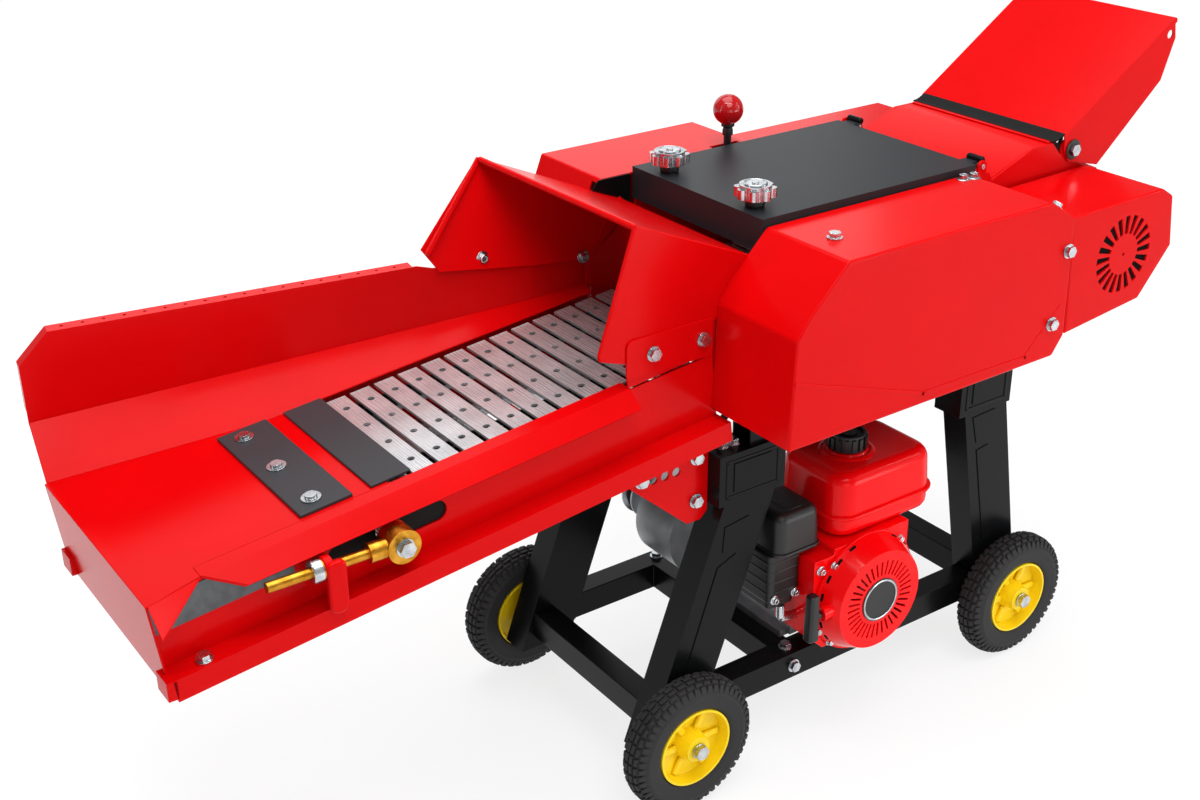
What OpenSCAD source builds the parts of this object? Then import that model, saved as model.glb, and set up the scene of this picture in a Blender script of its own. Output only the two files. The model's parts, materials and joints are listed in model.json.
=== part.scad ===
// Petrol chaff cutter on wheels: slat feed conveyor, feed rollers, knife rotor and discharge flap.
// Millimetres, +Z up, feed end towards -X, discharge towards +X, gear side towards -Y.

/* [Wheels and frame] */
// Wheel diameter over the tyre
wheel_d = 220; // [200:1:230]
// Tyre width
tyre_w = 50; // [40:1:56]
// Rim diameter under the tyre
rim_d = 126; // [110:1:136]
// Axle diameter
axle_d = 16; // [12:1:20]
// Front axle, along the machine
wheel_front_x = -281; // [-300:1:-265]
// Rear axle, along the machine
wheel_rear_x = 410; // [395:1:425]
// Outer face of the legs, from the centre line
leg_face_y = 190; // [186:1:194]
// Leg width along the machine
leg_w = 95; // [85:1:100]
// Leg depth across the machine
leg_d = 48; // [44:1:52]
// Wall of the leg and rail tubes
tube_wall = 3; // [2:0.5:4]
// Top of the base rails
rail_top = 150; // [140:1:160]
// Height of the base rails
rail_h = 45; // [35:1:50]
// Width of the base rails
rail_w = 40; // [30:1:44]
// Top of the leg caps, where the upper rails sit
cap_top = 545; // [535:1:550]

/* [Conveyor] */
// Rise of the conveyor, degrees
incline = 6.4; // [4:0.1:8]
// Chain pitch, two pitches to a slat
chain_pitch = 19.05; // [19.05]
// Slats in each straight run
run_slats = 21; // [19:1:21]
// Slat length across the machine
slat_l = 250; // [230:1:254]
// Slat width along the chain
slat_w = 30; // [24:1:32]
// Slat thickness
slat_t = 4; // [3:0.5:5]
// Centre of each chain, from the centre line
chain_y = 88; // [70:1:95]
// Head and tail shaft diameter
shaft_d = 25; // [20:1:28]

/* [Body] */
// Outer face of the chamber plates, from the centre line
plate_y = 150; // [146:1:152]
// Chamber plate thickness
plate_t = 4; // [3:0.5:5]
// Sheet thickness of covers and hood
sheet_t = 3; // [2:0.5:4]
// Outer face of the side covers, from the centre line
cover_y = 317; // [300:1:325]
// Top of the side covers
cover_top = 853; // [846:1:856]
// Top of the lid
lid_top = 864; // [860:1:868]

/* [Cutter] */
// Radius of the knife circle
rotor_r = 112; // [100:1:112]
// Gap from knife circle to bed knife
knife_gap = 0.8; // [0.5:0.1:2]
// Knives on the rotor
knife_count = 3; // [2:1:4]
// Rotor shaft diameter
rotor_shaft_d = 40; // [35:1:45]
// Feed roller radius over the ribs
roller_r = 34; // [32:1:35]
// Gear module of the feed train
gear_m = 4; // [4]
// Teeth on the shaft gears
teeth_small = 18; // [18]
// Teeth on the idler gear
teeth_idler = 32; // [32]

/* [Chute] */
// Length of the discharge flap
flap_l = 274; // [240:1:280]
// Rest angle of the flap above level
flap_angle = 33; // [25:1:36]

/* [Engine] */
// Radius of the recoil cover
recoil_r = 92; // [84:1:94]
// Radius of the engine pulley
engine_pulley_r = 40; // [36:1:45]
// Radius of the rotor pulley
rotor_pulley_r = 70; // [60:1:72]

/* [Hidden] */

$fn = 48;
red = "#d8121a";
black = "#1b1c1e";
zinc = "#c9ccd0";
steel = "#d4d6d8";

// Clearances
run_fit = 0.05;   // radial, shaft in its bearing
body_gap = 0.3;   // between pieces that move past each other
hole_gap = 1.5;   // radial, stud or stem through a sheet

// Conveyor frame: u along the slats, w square to them, w = 0 on the slat tops
slat_pitch = 2 * chain_pitch;
wrap_slats = 3;                      // slats round each shaft
wrap_step = 180 / wrap_slats;
tangent_r = chain_pitch / 2 / tan(wrap_step / 4);
roller_ring_r = chain_pitch / 2 / sin(wrap_step / 4);
chain_drop = slat_t + 8;             // slat top to chain centre
chain_roller_r = 5.9;
link_r = 8;
axis_w = -chain_drop - tangent_r;
tail_u = -61.2;
head_u = tail_u + run_slats * slat_pitch;
// The feed line is set out from the rotor: rollers in front of it, then the gear train, then the head shaft
rotor_x = 476;
rotor_z = 731;
pitch_small = gear_m * teeth_small / 2;
pitch_idler = gear_m * teeth_idler / 2;
train_rise = 10.9;
train_step = pitch_small + pitch_idler;
roller_x = rotor_x - 191;
roller_low_z = rotor_z - 24.77;
roller_high_z = roller_low_z + 2 * pitch_small;
idler_x = roller_x - train_step * cos(train_rise);
idler_z = roller_low_z - train_step * sin(train_rise);
head_x = roller_x - 2 * train_step * cos(train_rise);
head_z = roller_low_z - 2 * train_step * sin(train_rise);
bed_x = head_x - head_u * cos(incline) + axis_w * sin(incline);
bed_z = head_z - head_u * sin(incline) - axis_w * cos(incline);
function conv_x(u, w) = bed_x + u * cos(incline) - w * sin(incline);
function conv_z(u, w) = bed_z + u * sin(incline) + w * cos(incline);
function bed_level(x) = bed_z + (x - bed_x) * tan(incline);
tail_x = conv_x(tail_u, axis_w);
tail_z = conv_z(tail_u, axis_w);

// Beam section, from the centre line out and from the slat tops down
web_y = 150;
web_t = 3;
lip_in_y = 131;
shelf_w = -92;
shelf_y = 186;
beam_low_w = -122;
beam_front_u = -371;
beam_rear_u = 459;
table_low_w = 3;
table_t = 3;

// Wheels
wheel_r = wheel_d / 2;
tyre_in_y = leg_face_y + 8;
hub_out_y = tyre_in_y + tyre_w + 2;
// Legs: axis from the wheel centre up to the cap
front_top_x = -148;
rear_top_x = 341;
cap_low = 465;
front_cap = [-208, -86];
rear_cap = [277, 392];
function front_leg_x(z) = wheel_front_x + (z - wheel_r) * (front_top_x - wheel_front_x) / (cap_low - wheel_r);
function rear_leg_x(z) = wheel_rear_x + (z - wheel_r) * (rear_top_x - wheel_rear_x) / (cap_low - wheel_r);
leg_low = 84;
leg_in_y = leg_face_y - leg_d;
rail_low = rail_top - rail_h;
rail_out_y = leg_face_y - 2;
upper_rail_top = cap_top + 50;
front_cross_x = -293;
rear_cross_x = 400;
bearer_x = [-45, 115];

// Chamber
plate_in_y = plate_y - plate_t;
plate_top = lid_top - 18;
chamber_low = upper_rail_top;
scroll_r = rotor_r + 6;
flap_pivot = [rotor_x + 45, 850];
lid_pivot = [rotor_x - 154, 858];
lid_front_x = -107;
lid_rear_x = lid_pivot[0] - 15;
knob_x = -80;
knob_y = 98;
bearing_h = 24;
gear_y = plate_y + bearing_h + 4;
gear_t = 20;
cover_in_y = plate_y + sheet_t + 0.4;

// Engine
crank_x = 48;
crank_z = 258;
output_x = -40;
output_z = 264;
belt_y = 200;
feed_belt_y = 264;
feed_pulley_r = 30;
input_pulley_r = 60;
input_x = head_x;
input_z = head_z + 62;
belt_t = 10;
belt_w = 16;

// The origin is under the middle of the machine's box
front_end_x = conv_x(beam_front_u, beam_low_w) - 16;
rear_end_x = flap_pivot[0] + 220;
shift_x = -(front_end_x + rear_end_x) / 2;

// Helpers
module placed() translate([shift_x, 0, 0]) children();
module both_sides() {
    children();
    mirror([0, 1, 0]) children();
}
// A side profile in X and Z, from y0 to y1
module side(y0, y1) translate([0, y1, 0]) rotate([90, 0, 0]) linear_extrude(y1 - y0) children();
module conveyor() translate([bed_x, 0, bed_z]) rotate([0, -incline, 0]) children();
// A cylinder along Y
module bar_y(x, z, r, y0, y1) translate([x, y1, z]) rotate([90, 0, 0]) cylinder(r = r, h = y1 - y0);
module block(x0, x1, y0, y1, z0, z1) translate([x0, y0, z0]) cube([x1 - x0, y1 - y0, z1 - z0]);
function unit(v) = v / norm(v);
function left(v) = [-v[1], v[0]];
// Outline moved inwards by t; points run anticlockwise
function inset(p, t) = [for (i = [0 : len(p) - 1])
    let (n = len(p), a = left(unit(p[i] - p[(i + n - 1) % n])), b = left(unit(p[(i + 1) % n] - p[i])))
    p[i] + t * (a + b) / (1 + a * b)];

// Wheels
module tyre(x, s) color(black)
    translate([x, s * (tyre_in_y + tyre_w / 2), wheel_r]) rotate([90, 0, 0]) rotate_extrude() {
        shoulder = 15;
        difference() {
            union() {
                translate([rim_d / 2, -tyre_w / 2 + 4]) square([wheel_r - shoulder - rim_d / 2, tyre_w - 8]);
                for (k = [-1, 1])
                    translate([wheel_r - shoulder, k * (tyre_w / 2 - shoulder)]) circle(shoulder);
                translate([wheel_r - shoulder, -tyre_w / 2 + shoulder]) square([shoulder, tyre_w - 2 * shoulder]);
            }
            for (k = [-1, 0, 1]) translate([wheel_r - 4, k * 9 - 1.5]) square([6, 3]);
        }
    }
module rim(x, s) color("gold")
    translate([x, s * tyre_in_y, wheel_r]) rotate([-90 * s, 0, 0])
        rotate_extrude() polygon([[axle_d / 2 + run_fit, -2], [22, -2], [22, 16], [rim_d / 2 - 8, 20],
            [rim_d / 2 - 4, 3], [rim_d / 2 - 0.1, 3], [rim_d / 2 - 0.1, tyre_w - 3], [rim_d / 2 - 4, tyre_w - 3],
            [rim_d / 2 - 8, 27], [26, 24], [20, tyre_w + 1.5], [axle_d / 2 + run_fit, tyre_w + 1.5]]);

// Frame
module leg_profile(x_low, x_high, z_low, z_high)
    polygon([[x_low - leg_w / 2, z_low], [x_low + leg_w / 2, z_low], [x_high + leg_w / 2, z_high],
        [x_high - leg_w / 2, z_high]]);
module leg_panel(front) {
    span = cap_low - wheel_r;
    upper = front ? [[-20, 0.78], [18, 0.87], [10, 0.913], [-32, 0.896]] : [[-27, 0.837], [18, 0.946], [21, 0.983], [-31, 0.975]];
    lower = front ? [[-16, 0.234], [14, 0.254], [9, 0.755], [-20, 0.718]] : [[-24, 0.296], [-8, 0.301], [0, 0.808], [-27, 0.797]];
    for (shape = [upper, lower])
        side(leg_face_y - 0.5, leg_face_y + 1.5) polygon([for (c = shape)
            let (z = wheel_r + c[1] * span) [(front ? front_leg_x(z) : rear_leg_x(z)) + c[0], z]]);
}
module leg(front) {
    top = cap_low + 25;
    cap = front ? front_cap : rear_cap;
    axle_x = front ? wheel_front_x : wheel_rear_x;
    low_x = front ? front_leg_x(leg_low) : rear_leg_x(leg_low);
    top_x = front ? front_leg_x(top) : rear_leg_x(top);
    difference() {
        union() {
            side(leg_in_y, leg_face_y) leg_profile(low_x, top_x, leg_low, top);
            leg_panel(front);
            block(cap[0], cap[1], leg_in_y - 3, leg_face_y + 3, cap_low, cap_top);
            side(leg_face_y + 2, leg_face_y + 4.5)
                polygon([[cap[0] + 26, cap_low + 18], [cap[1] - 26, cap_low + 18], [cap[1] - 26, cap_top - 16],
                    [cap[0] + 26, cap_top - 16]]);
        }
        side(leg_in_y + tube_wall, leg_face_y - tube_wall) intersection() {
            leg_profile(low_x, top_x, leg_low - 1, top);
            polygon([[low_x - leg_w / 2 + tube_wall * 1.1, leg_low - 2], [low_x + leg_w / 2 - tube_wall * 1.1, leg_low - 2],
                [top_x + leg_w / 2 - tube_wall * 1.1, top], [top_x - leg_w / 2 + tube_wall * 1.1, top]]);
        }
        bar_y(axle_x, wheel_r, axle_d / 2 + run_fit, leg_face_y - tube_wall - 1, leg_face_y + 1);
    }
}
module legs() color(black) both_sides() {
    leg(true);
    leg(false);
    difference() {
        block(front_cap[0] + 60, rear_cap[1], leg_in_y + 4, leg_face_y - 4, cap_top, upper_rail_top);
        block(front_cap[0] + 59, rear_cap[1] + 1, leg_in_y + 4 + tube_wall, leg_face_y - 4 - tube_wall,
            cap_top + tube_wall, upper_rail_top - tube_wall);
    }
}
module tube_y(x, half) difference() {
    block(x - rail_w / 2, x + rail_w / 2, -half, half, rail_low, rail_top);
    block(x - rail_w / 2 + tube_wall, x + rail_w / 2 - tube_wall, -half - 1, half + 1, rail_low + tube_wall,
        rail_top - tube_wall);
}
module base_rails() color(black) {
    both_sides() difference() {
        side(rail_out_y - rail_w, rail_out_y) polygon([
            [front_leg_x(rail_low) + leg_w / 2, rail_low], [rear_leg_x(rail_low) - leg_w / 2, rail_low],
            [rear_leg_x(rail_top) - leg_w / 2, rail_top], [front_leg_x(rail_top) + leg_w / 2, rail_top]]);
        block(wheel_front_x, wheel_rear_x, rail_out_y - rail_w + tube_wall, rail_out_y - tube_wall,
            rail_low + tube_wall, rail_top - tube_wall);
    }
    for (x = [front_cross_x, rear_cross_x]) tube_y(x, leg_in_y);
    for (x = bearer_x) tube_y(x, rail_out_y - rail_w);
}

// Brackets
gusset_y = 162;
gusset_right = front_cap[0];
gusset_bolts = [[gusset_right - 22, 543], [gusset_right - 22, 474], [gusset_right - 118, 536]];
strap_y = web_y + web_t;
strap = [-342, -197, 688, 744];
strap_bolts = [[-299, 717], [-214, 716]];
module bracket_plates() color(red) {
    both_sides() side(gusset_y, gusset_y + 4) difference() {
        polygon([[gusset_right, 451], [gusset_right, bed_level(gusset_right) + shelf_w - 4],
            [gusset_right - 136, bed_level(gusset_right - 136) + shelf_w - 4], [gusset_right - 136, 528],
            [gusset_right - 36, 440], [gusset_right - 12, 440]]);
        for (k = [0 : 2]) translate([gusset_right - 56 - k * 20, 530]) circle(7);
    }
    side(-strap_y - sheet_t, -strap_y) polygon([[strap[0] + 3, strap[2]], [strap[1], strap[2]],
        [strap[1], strap[3]], [strap[0] + 9, strap[3]], [strap[0] + 3, strap[3] - 3], [strap[0], strap[3] - 9],
        [strap[0], strap[2] + 3]]);
}
lid_pin_y = [112, plate_y];
flap_side_y = plate_y + 1;
module axle_pins() color(zinc) both_sides() {
    for (x = [wheel_front_x, wheel_rear_x]) {
        bar_y(x, wheel_r, axle_d / 2, leg_face_y - 20, hub_out_y + 0.5);
        bar_y(x, wheel_r, axle_d / 2 + 4, hub_out_y + 0.5, hub_out_y + 3);
        translate([x, hub_out_y + 3, wheel_r]) rotate([-90, 0, 0]) cylinder(r = 12, h = 8, $fn = 6);
    }
    bar_y(lid_pivot[0], lid_pivot[1], 4, lid_pin_y[0], lid_pin_y[1] + 2);
    bar_y(flap_pivot[0], flap_pivot[1], 6, plate_in_y - 2, flap_side_y + 6);
    translate([flap_pivot[0], flap_side_y + 6, flap_pivot[1]]) rotate([-90, 0, 0]) cylinder(r = 10, h = 6, $fn = 6);
}

// Flange bolts seated on the faces
module bolt(p, turn) translate(p) rotate(turn) {
    cylinder(r = 11, h = 2.5);
    cylinder(r = 9, h = 9, $fn = 6);
}
stay_r = 4.5;
cover_bolts = [[roller_x + 46, 772], [roller_x + 27, 662]];
cover_stays = [[-150, 640], [-110, 790]];
belt_bolts = [[-120, 660], [rotor_x + 44, 640], [rotor_x - 236, 800]];
vent_bolts = [[rotor_x + 70, 700], [rotor_x - 92, 700]];
table_bolts_u = -130;
module fasteners() color(zinc) {
    for (s = [-1, 1]) mirror([0, s > 0 ? 1 : 0, 0]) {
        for (p = gusset_bolts) bolt([p[0], -gusset_y - 4, p[1]], [90, 0, 0]);
        for (x = [front_cap[0] + 24, front_cap[0] + 44]) bolt([x, -166, cap_top], [0, 0, 0]);
        bolt([bearer_x[0], -rail_out_y, rail_top - 22], [90, 0, 0]);
        for (x = bearer_x) bolt([x, -rail_out_y + rail_w / 2, rail_top], [0, 0, 0]);
        conveyor() bolt([beam_front_u + 45, -shelf_y + 14, shelf_w], [0, 0, 0]);
    }
    for (p = concat(cover_bolts, cover_stays)) bar_y(p[0], p[1], stay_r, -cover_y + sheet_t, -plate_y);
    for (p = cover_bolts) bolt([p[0], -cover_y, p[1]], [90, 0, 0]);
    for (p = belt_bolts) {
        bar_y(p[0], p[1], stay_r, plate_y, cover_y - sheet_t);
        bolt([p[0], cover_y, p[1]], [-90, 0, 0]);
    }
    for (p = strap_bolts) bolt([p[0], -strap_y - sheet_t, p[1]], [90, 0, 0]);
    for (p = vent_bolts) bar_y(p[0], p[1], stay_r, -vent_y + sheet_t, -plate_y);
    for (y = [-100, 0, 100]) conveyor() translate([table_bolts_u, y, table_low_w + table_t + 5]) {
        cylinder(r = 13, h = 2);
        cylinder(r = 8, h = 6);
    }
    bolt([-60, -240, cover_top], [0, 0, 0]);
}

// Conveyor body
module beam_section() polygon([[web_y, table_low_w], [web_y + web_t, table_low_w], [web_y + web_t, shelf_w],
    [shelf_y, shelf_w], [shelf_y, beam_low_w], [shelf_y - 14, beam_low_w], [shelf_y - 14, beam_low_w + 3],
    [shelf_y - 3, beam_low_w + 3], [shelf_y - 3, shelf_w - 3], [web_y, shelf_w - 3]]);
lip_section = [[lip_in_y, table_low_w], [lip_in_y, table_low_w + 3], [web_y + 4, table_low_w + 3],
    [web_y + 27, table_low_w - 20], [web_y + 24.9, table_low_w - 22.1], [web_y + 2.8, table_low_w]];
// A section in Y and W, run along the conveyor
module along_u(u0, u1) conveyor() translate([u0, 0, 0]) rotate([90, 0, 90]) linear_extrude(u1 - u0) children();
slot_reach = 70;
module beam() difference() {
    along_u(beam_front_u, beam_rear_u) beam_section();
    conveyor() for (u = [tail_u - slot_reach, tail_u + slot_reach])
        translate([u, web_y - 1, axis_w]) rotate([-90, 0, 0]) cylinder(r = shaft_d / 2 + 2, h = web_t + 2);
    conveyor() block(tail_u - slot_reach, tail_u + slot_reach, web_y - 1, web_y + web_t + 1,
        axis_w - shaft_d / 2 - 2, axis_w + shaft_d / 2 + 2);
}
lip_front_u = -300;
lip_rear_u = 318;
module conveyor_beams() color(red) {
    beam();
    mirror([0, 1, 0]) {
        beam();
        difference() {
            along_u(lip_front_u, lip_rear_u) polygon(lip_section);
            conveyor() translate([0, 0, -60]) linear_extrude(100)
                polygon([[lip_front_u - 10, web_y - 2], [lip_front_u, web_y + 3], [lip_front_u + 50, web_y + 29],
                    [lip_front_u - 10, web_y + 29]]);
        }
    }
}

// Feed table: plate, apron, near flap and the far flare up to the guide board
board_front = [-1012, 262];
board_rear = [-291, plate_y + 0.6];
board_end_x = -191;
board_turn = atan2(board_rear[1] - board_front[1], board_rear[0] - board_front[0]);
board_l = norm(board_rear - board_front);
board_low = [650, 690];
function board_y(x) = board_front[1] + (x - board_front[0]) * tan(board_turn);
function board_z(x) = board_low[0] + (x - board_front[0]) * (board_low[1] - board_low[0]) / (board_rear[0] - board_front[0]);
table_rear_u = -38;
table_far_y = 190;
table_near_y = -168;
flare_u = -92;
module plate_of(top, drop) {
    n = len(top);
    polyhedron(points = concat(top, [for (p = top) p - [0, 0, drop]]),
        faces = concat([[for (i = [0 : n - 1]) n - 1 - i]], [[for (i = [0 : n - 1]) n + i]],
            [for (i = [0 : n - 1]) [i, (i + 1) % n, n + (i + 1) % n, n + i]]));
}
function conv_point(u, y, w) = [conv_x(u, w), y, conv_z(u, w)];
module feed_table() color(red) {
    table_top_w = table_low_w + table_t;
    conveyor() translate([0, 0, table_low_w]) linear_extrude(table_t)
        polygon([[beam_front_u, table_near_y], [lip_front_u - 0.3, -lip_in_y - 21.5], [lip_front_u - 0.3, -lip_in_y + 1],
            [table_rear_u, -lip_in_y + 1],
            [table_rear_u, lip_in_y - 1], [flare_u, lip_in_y - 1], [beam_front_u, table_far_y]]);
    conveyor() block(beam_front_u - 3, beam_front_u, table_near_y, table_far_y, beam_low_w, table_low_w + table_t);
    // Far flare in flat pieces, each from the table's edge up to the board
    a = conv_point(beam_front_u, table_far_y + 0.3, table_top_w);
    b = conv_point(flare_u, lip_in_y - 0.7, table_top_w);
    c = conv_point(360, lip_in_y - 0.7, table_top_w);
    d = conv_point(455, lip_in_y - 0.7, table_top_w);
    front = [board_front[0], board_y(board_front[0]) - 0.2, board_z(board_front[0]) + 4];
    middle = [b[0] - 30, board_y(b[0] - 30) - 0.2, board_z(b[0] - 30) + 4];
    rear = [board_rear[0], board_rear[1] - 0.2, board_z(board_rear[0]) + 4];
    end = [board_end_x - 7, board_rear[1] - 0.2, board_z(board_end_x) + 4];
    plate_of([a, b, middle], 2.5);
    plate_of([a, middle, front], 2.5);
    plate_of([b, c, rear], 2.5);
    plate_of([b, rear, middle], 2.5);
    plate_of([c, d, end], 2.5);
    plate_of([c, end, rear], 2.5);
    // Near front corner folded down
    plate_of([conv_point(beam_front_u, table_near_y - 0.3, table_top_w),
        conv_point(beam_front_u - 2, table_near_y - 34, -22), conv_point(lip_front_u, -lip_in_y - 22, table_top_w - 1)], 2.5);
}
board_t = 2.5;
flange_l = 545;
module guide_board() color(red) {
    translate([board_front[0], board_front[1], 0]) rotate([0, 0, board_turn]) {
        outline = [[0, board_low[0]], [board_l, board_low[1]], [board_l, 754], [574, 769], [550, 776], [42, 776], [0, 734]];
        side(0, board_t) polygon(outline);
        difference() {
            side(board_t, 22) intersection() {
                difference() {
                    polygon(outline);
                    polygon([[2.6, 600], [board_l + 1, 600], [board_l + 1, 773.4], [43, 773.4], [2.6, 733]]);
                }
                translate([-1, 668]) square([flange_l, 200]);
            }
            for (k = [0 : 17]) translate([62 + k * 27, 12, 760]) cylinder(r = 2.5, h = 40);
        }
    }
    // Under the hood the board runs on beside the slats to the chamber
    side(board_rear[1], board_rear[1] + board_t) polygon([[board_rear[0] - 2, bed_level(board_rear[0] - 2) + 3.4],
        [board_end_x, bed_level(board_end_x) + 3.4], [board_end_x, 742], [board_rear[0] - 2, 754]]);
}
plate1_u = [-158.5, -86.5];
plate2_u = [-61.5, -4.5];
module cover_plates() color("#33363a") conveyor() {
    block(plate1_u[0], plate1_u[1], -lip_in_y + 4, lip_in_y - 4, table_low_w + table_t, table_low_w + table_t + 5);
    block(plate2_u[0], plate2_u[1], -lip_in_y + 4, lip_in_y - 4, table_low_w + table_t, table_low_w + table_t + 4);
}
module table_web() color("#9ea2a6") conveyor()
    block(beam_front_u + 2, -190, -web_y - web_t - 2, -web_y - web_t, -44, table_low_w - 3);

// Guide rails under both runs of the chain
rail_u = [tail_u + 52, head_u - 52];
module chain_rails() color("#55585c") conveyor() {
    roller_low = -chain_drop - chain_roller_r - body_gap;
    for (s = [-1, 1]) block(rail_u[0], rail_u[1], s * chain_y - 4, s * chain_y + 4, roller_low - 12, roller_low);
    for (u = [rail_u[0] + 60, (rail_u[0] + rail_u[1]) / 2 - 60, beam_rear_u - 40])
        block(u - 12, u + 12, -web_y, web_y, roller_low - 20, roller_low - 12);
    return_low = 2 * axis_w;
    for (s = [-1, 1]) block(tail_u + 40, beam_rear_u, s > 0 ? 108 : -web_y, s > 0 ? web_y : -108,
        return_low - body_gap - 3, return_low - body_gap);
}

// Chain tensioner
rod_y = 182;
rod_r = 7;
eye_r = 23;
// The brackets stand on whole millimetres ahead of the tail shaft, and the rods reach out in front of them
bracket_x = round(tail_x) - 105;
rod_front_x = bracket_x - 72;
module tension_brackets() color(red) both_sides() difference() {
    union() {
        block(bracket_x, bracket_x + 12, web_y + web_t, rod_y, tail_z - 16, tail_z + 16);
        translate([bracket_x, rod_y, tail_z]) rotate([0, 90, 0]) cylinder(r = 16, h = 12);
        block(bracket_x, bracket_x + 26, shelf_y + 1.5, shelf_y + 13.5, tail_z - 46, tail_z + 4);
        translate([bracket_x + 13, shelf_y + 13.5, tail_z - 46]) rotate([90, 0, 0]) cylinder(r = 13, h = 12);
    }
    translate([bracket_x - 20, rod_y, tail_z]) rotate([0, 90, 0]) cylinder(r = rod_r + 0.1, h = 60);
}
module tension_rods() color("#c8922a") both_sides() difference() {
    union() {
        translate([rod_front_x, rod_y, tail_z]) rotate([0, 90, 0]) cylinder(r = rod_r, h = tail_x - 18 - rod_front_x);
        translate([tail_x - 44, rod_y, tail_z]) rotate([0, 90, 0]) cylinder(r = 13, h = 24);
        bar_y(tail_x, tail_z, eye_r, web_y + web_t + 10, rod_y + 14);
        translate([bracket_x - 14, rod_y, tail_z]) rotate([0, 90, 0]) cylinder(r = 14, h = 14);
    }
    bar_y(tail_x, tail_z, shaft_d / 2 + run_fit, web_y, rod_y + 20);
}

// Slat with four holes, top face at w = 0, centred on u = 0
module slat() difference() {
    translate([-slat_w / 2, -slat_l / 2, -slat_t]) cube([slat_w, slat_l, slat_t]);
    for (k = [-1.5, -0.5, 0.5, 1.5]) translate([0, k * slat_l * 0.24, -slat_t - 1]) cylinder(r = 5, h = slat_t + 2, $fn = 24);
}
// Inner chain link: two plates and two rollers, under a slat
module stadium(l, r) {
    translate([-l / 2, -r]) square([l, 2 * r]);
    for (k = [-1, 1]) translate([k * l / 2, 0]) circle(r, $fn = 24);
}
roller_l = 10;
link_t = 2.5;
module inner_link() translate([0, 0, -chain_drop]) {
    for (s = [-1, 1]) side(s > 0 ? roller_l / 2 : -roller_l / 2 - link_t, s > 0 ? roller_l / 2 + link_t : -roller_l / 2)
        stadium(chain_pitch, link_r);
    for (k = [-1, 1]) bar_y(k * chain_pitch / 2, 0, chain_roller_r, -roller_l / 2, roller_l / 2);
}
module outer_link() translate([slat_pitch / 2, 0, -chain_drop])
    for (s = [-1, 1]) side(s > 0 ? roller_l / 2 + link_t : -roller_l / 2 - 2 * link_t,
        s > 0 ? roller_l / 2 + 2 * link_t : -roller_l / 2 - link_t) stadium(chain_pitch, link_r - 1);
module both_chains() for (s = [-1, 1]) translate([0, s * chain_y, 0]) children();
// A run of slats or links from the tail, upper or lower
module run(lower) for (k = [0 : run_slats - 1])
    if (lower) translate([head_u - k * slat_pitch, 0, 2 * axis_w]) rotate([0, 180, 0]) children();
    else translate([tail_u + k * slat_pitch, 0, 0]) children();
module joints(lower) for (k = [0 : run_slats - 2])
    if (lower) translate([head_u - (k + 1) * slat_pitch, 0, 2 * axis_w]) mirror([0, 0, 1]) children();
    else translate([tail_u + k * slat_pitch, 0, 0]) children();
module wrap(u, start) for (k = [0 : wrap_slats - 1])
    translate([u, 0, axis_w]) rotate([0, start + k * wrap_step, 0]) translate([0, 0, -axis_w]) children();
module slat_group() {
    color(steel) slat();
    color(black) both_chains() inner_link();
}
module upper_slats() color(steel) conveyor() run(false) slat();
module upper_chain() color(black) conveyor() {
    run(false) both_chains() inner_link();
    joints(false) both_chains() outer_link();
}
module lower_run() color(steel) conveyor() {
    run(true) slat_group();
    joints(true) both_chains() outer_link();
}
module head_slats() color(steel) conveyor() wrap(head_u, 0) slat_group();
module tail_slats() color(steel) conveyor() wrap(tail_u, 180) slat_group();

// Sprocket with a tooth between each pair of rollers
sprocket_teeth = 4 * wrap_slats;
module sprocket(y) translate([0, y + roller_l / 2 - 1, 0]) rotate([90, 0, 0]) linear_extrude(roller_l - 2) {
    root_r = tangent_r - chain_roller_r - body_gap - 0.1;
    circle(root_r);
    for (k = [0 : sprocket_teeth - 1]) rotate(k * 360 / sprocket_teeth)
        polygon([[root_r - 3, -3.55], [root_r + 2.1, -3.5], [roller_ring_r + 3.5, -1.5], [roller_ring_r + 3.5, 1.5],
            [root_r + 2.1, 3.5], [root_r - 3, 3.55]]);
}
module sprockets(u) translate([conv_x(u, axis_w), 0, conv_z(u, axis_w)]) rotate([0, -incline, 0])
    for (s = [-1, 1]) sprocket(s * chain_y);

// Involute gear, face from 0 to gear_t, with a tooth centred at angle phase
pressure = 20;
function inv(a) = tan(a) * 180 / PI - a;
function gear_points(teeth, phase) = let (
    rp = gear_m * teeth / 2, rb = rp * cos(pressure), ro = rp + 0.9 * gear_m, rr = rp - 1.25 * gear_m,
    half = 90 / teeth - 0.25 * 180 / PI / rp, n = 5,
    flank = [for (i = [0 : n]) let (r = rb + (ro - rb) * i / n) [r, half + inv(pressure) - inv(acos(rb / r))]],
    foot = min(flank[0][1] + 0.3, 180 / teeth - 0.5))
    [for (k = [0 : teeth - 1]) let (c = phase + k * 360 / teeth) each concat(
        [rr * [cos(c - foot), sin(c - foot)]],
        [for (f = flank) f[0] * [cos(c - f[1]), sin(c - f[1])]],
        [for (i = [n : -1 : 0]) flank[i][0] * [cos(c + flank[i][1]), sin(c + flank[i][1])]],
        [rr * [cos(c + foot), sin(c + foot)]])];
module gear(x, z, teeth, phase, bore) translate([x, 0, z]) side(-gear_y - gear_t, -gear_y) difference() {
    polygon(gear_points(teeth, phase));
    if (bore > 0) circle(bore);
}
// Phase of a gear that meshes with one of the given phase, theta being the way from that one to it
function meshed(phase, t1, t2, theta) = theta + 180 - 360 / t2 * (0.5 - (theta - phase) * t1 / 360);
phase_head = 0;
phase_idler = meshed(phase_head, teeth_small, teeth_idler, train_rise);
phase_low = meshed(phase_idler, teeth_idler, teeth_small, train_rise);
phase_high = meshed(phase_low, teeth_small, teeth_small, 90);
gear_end_y = gear_y + gear_t + 3;

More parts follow.
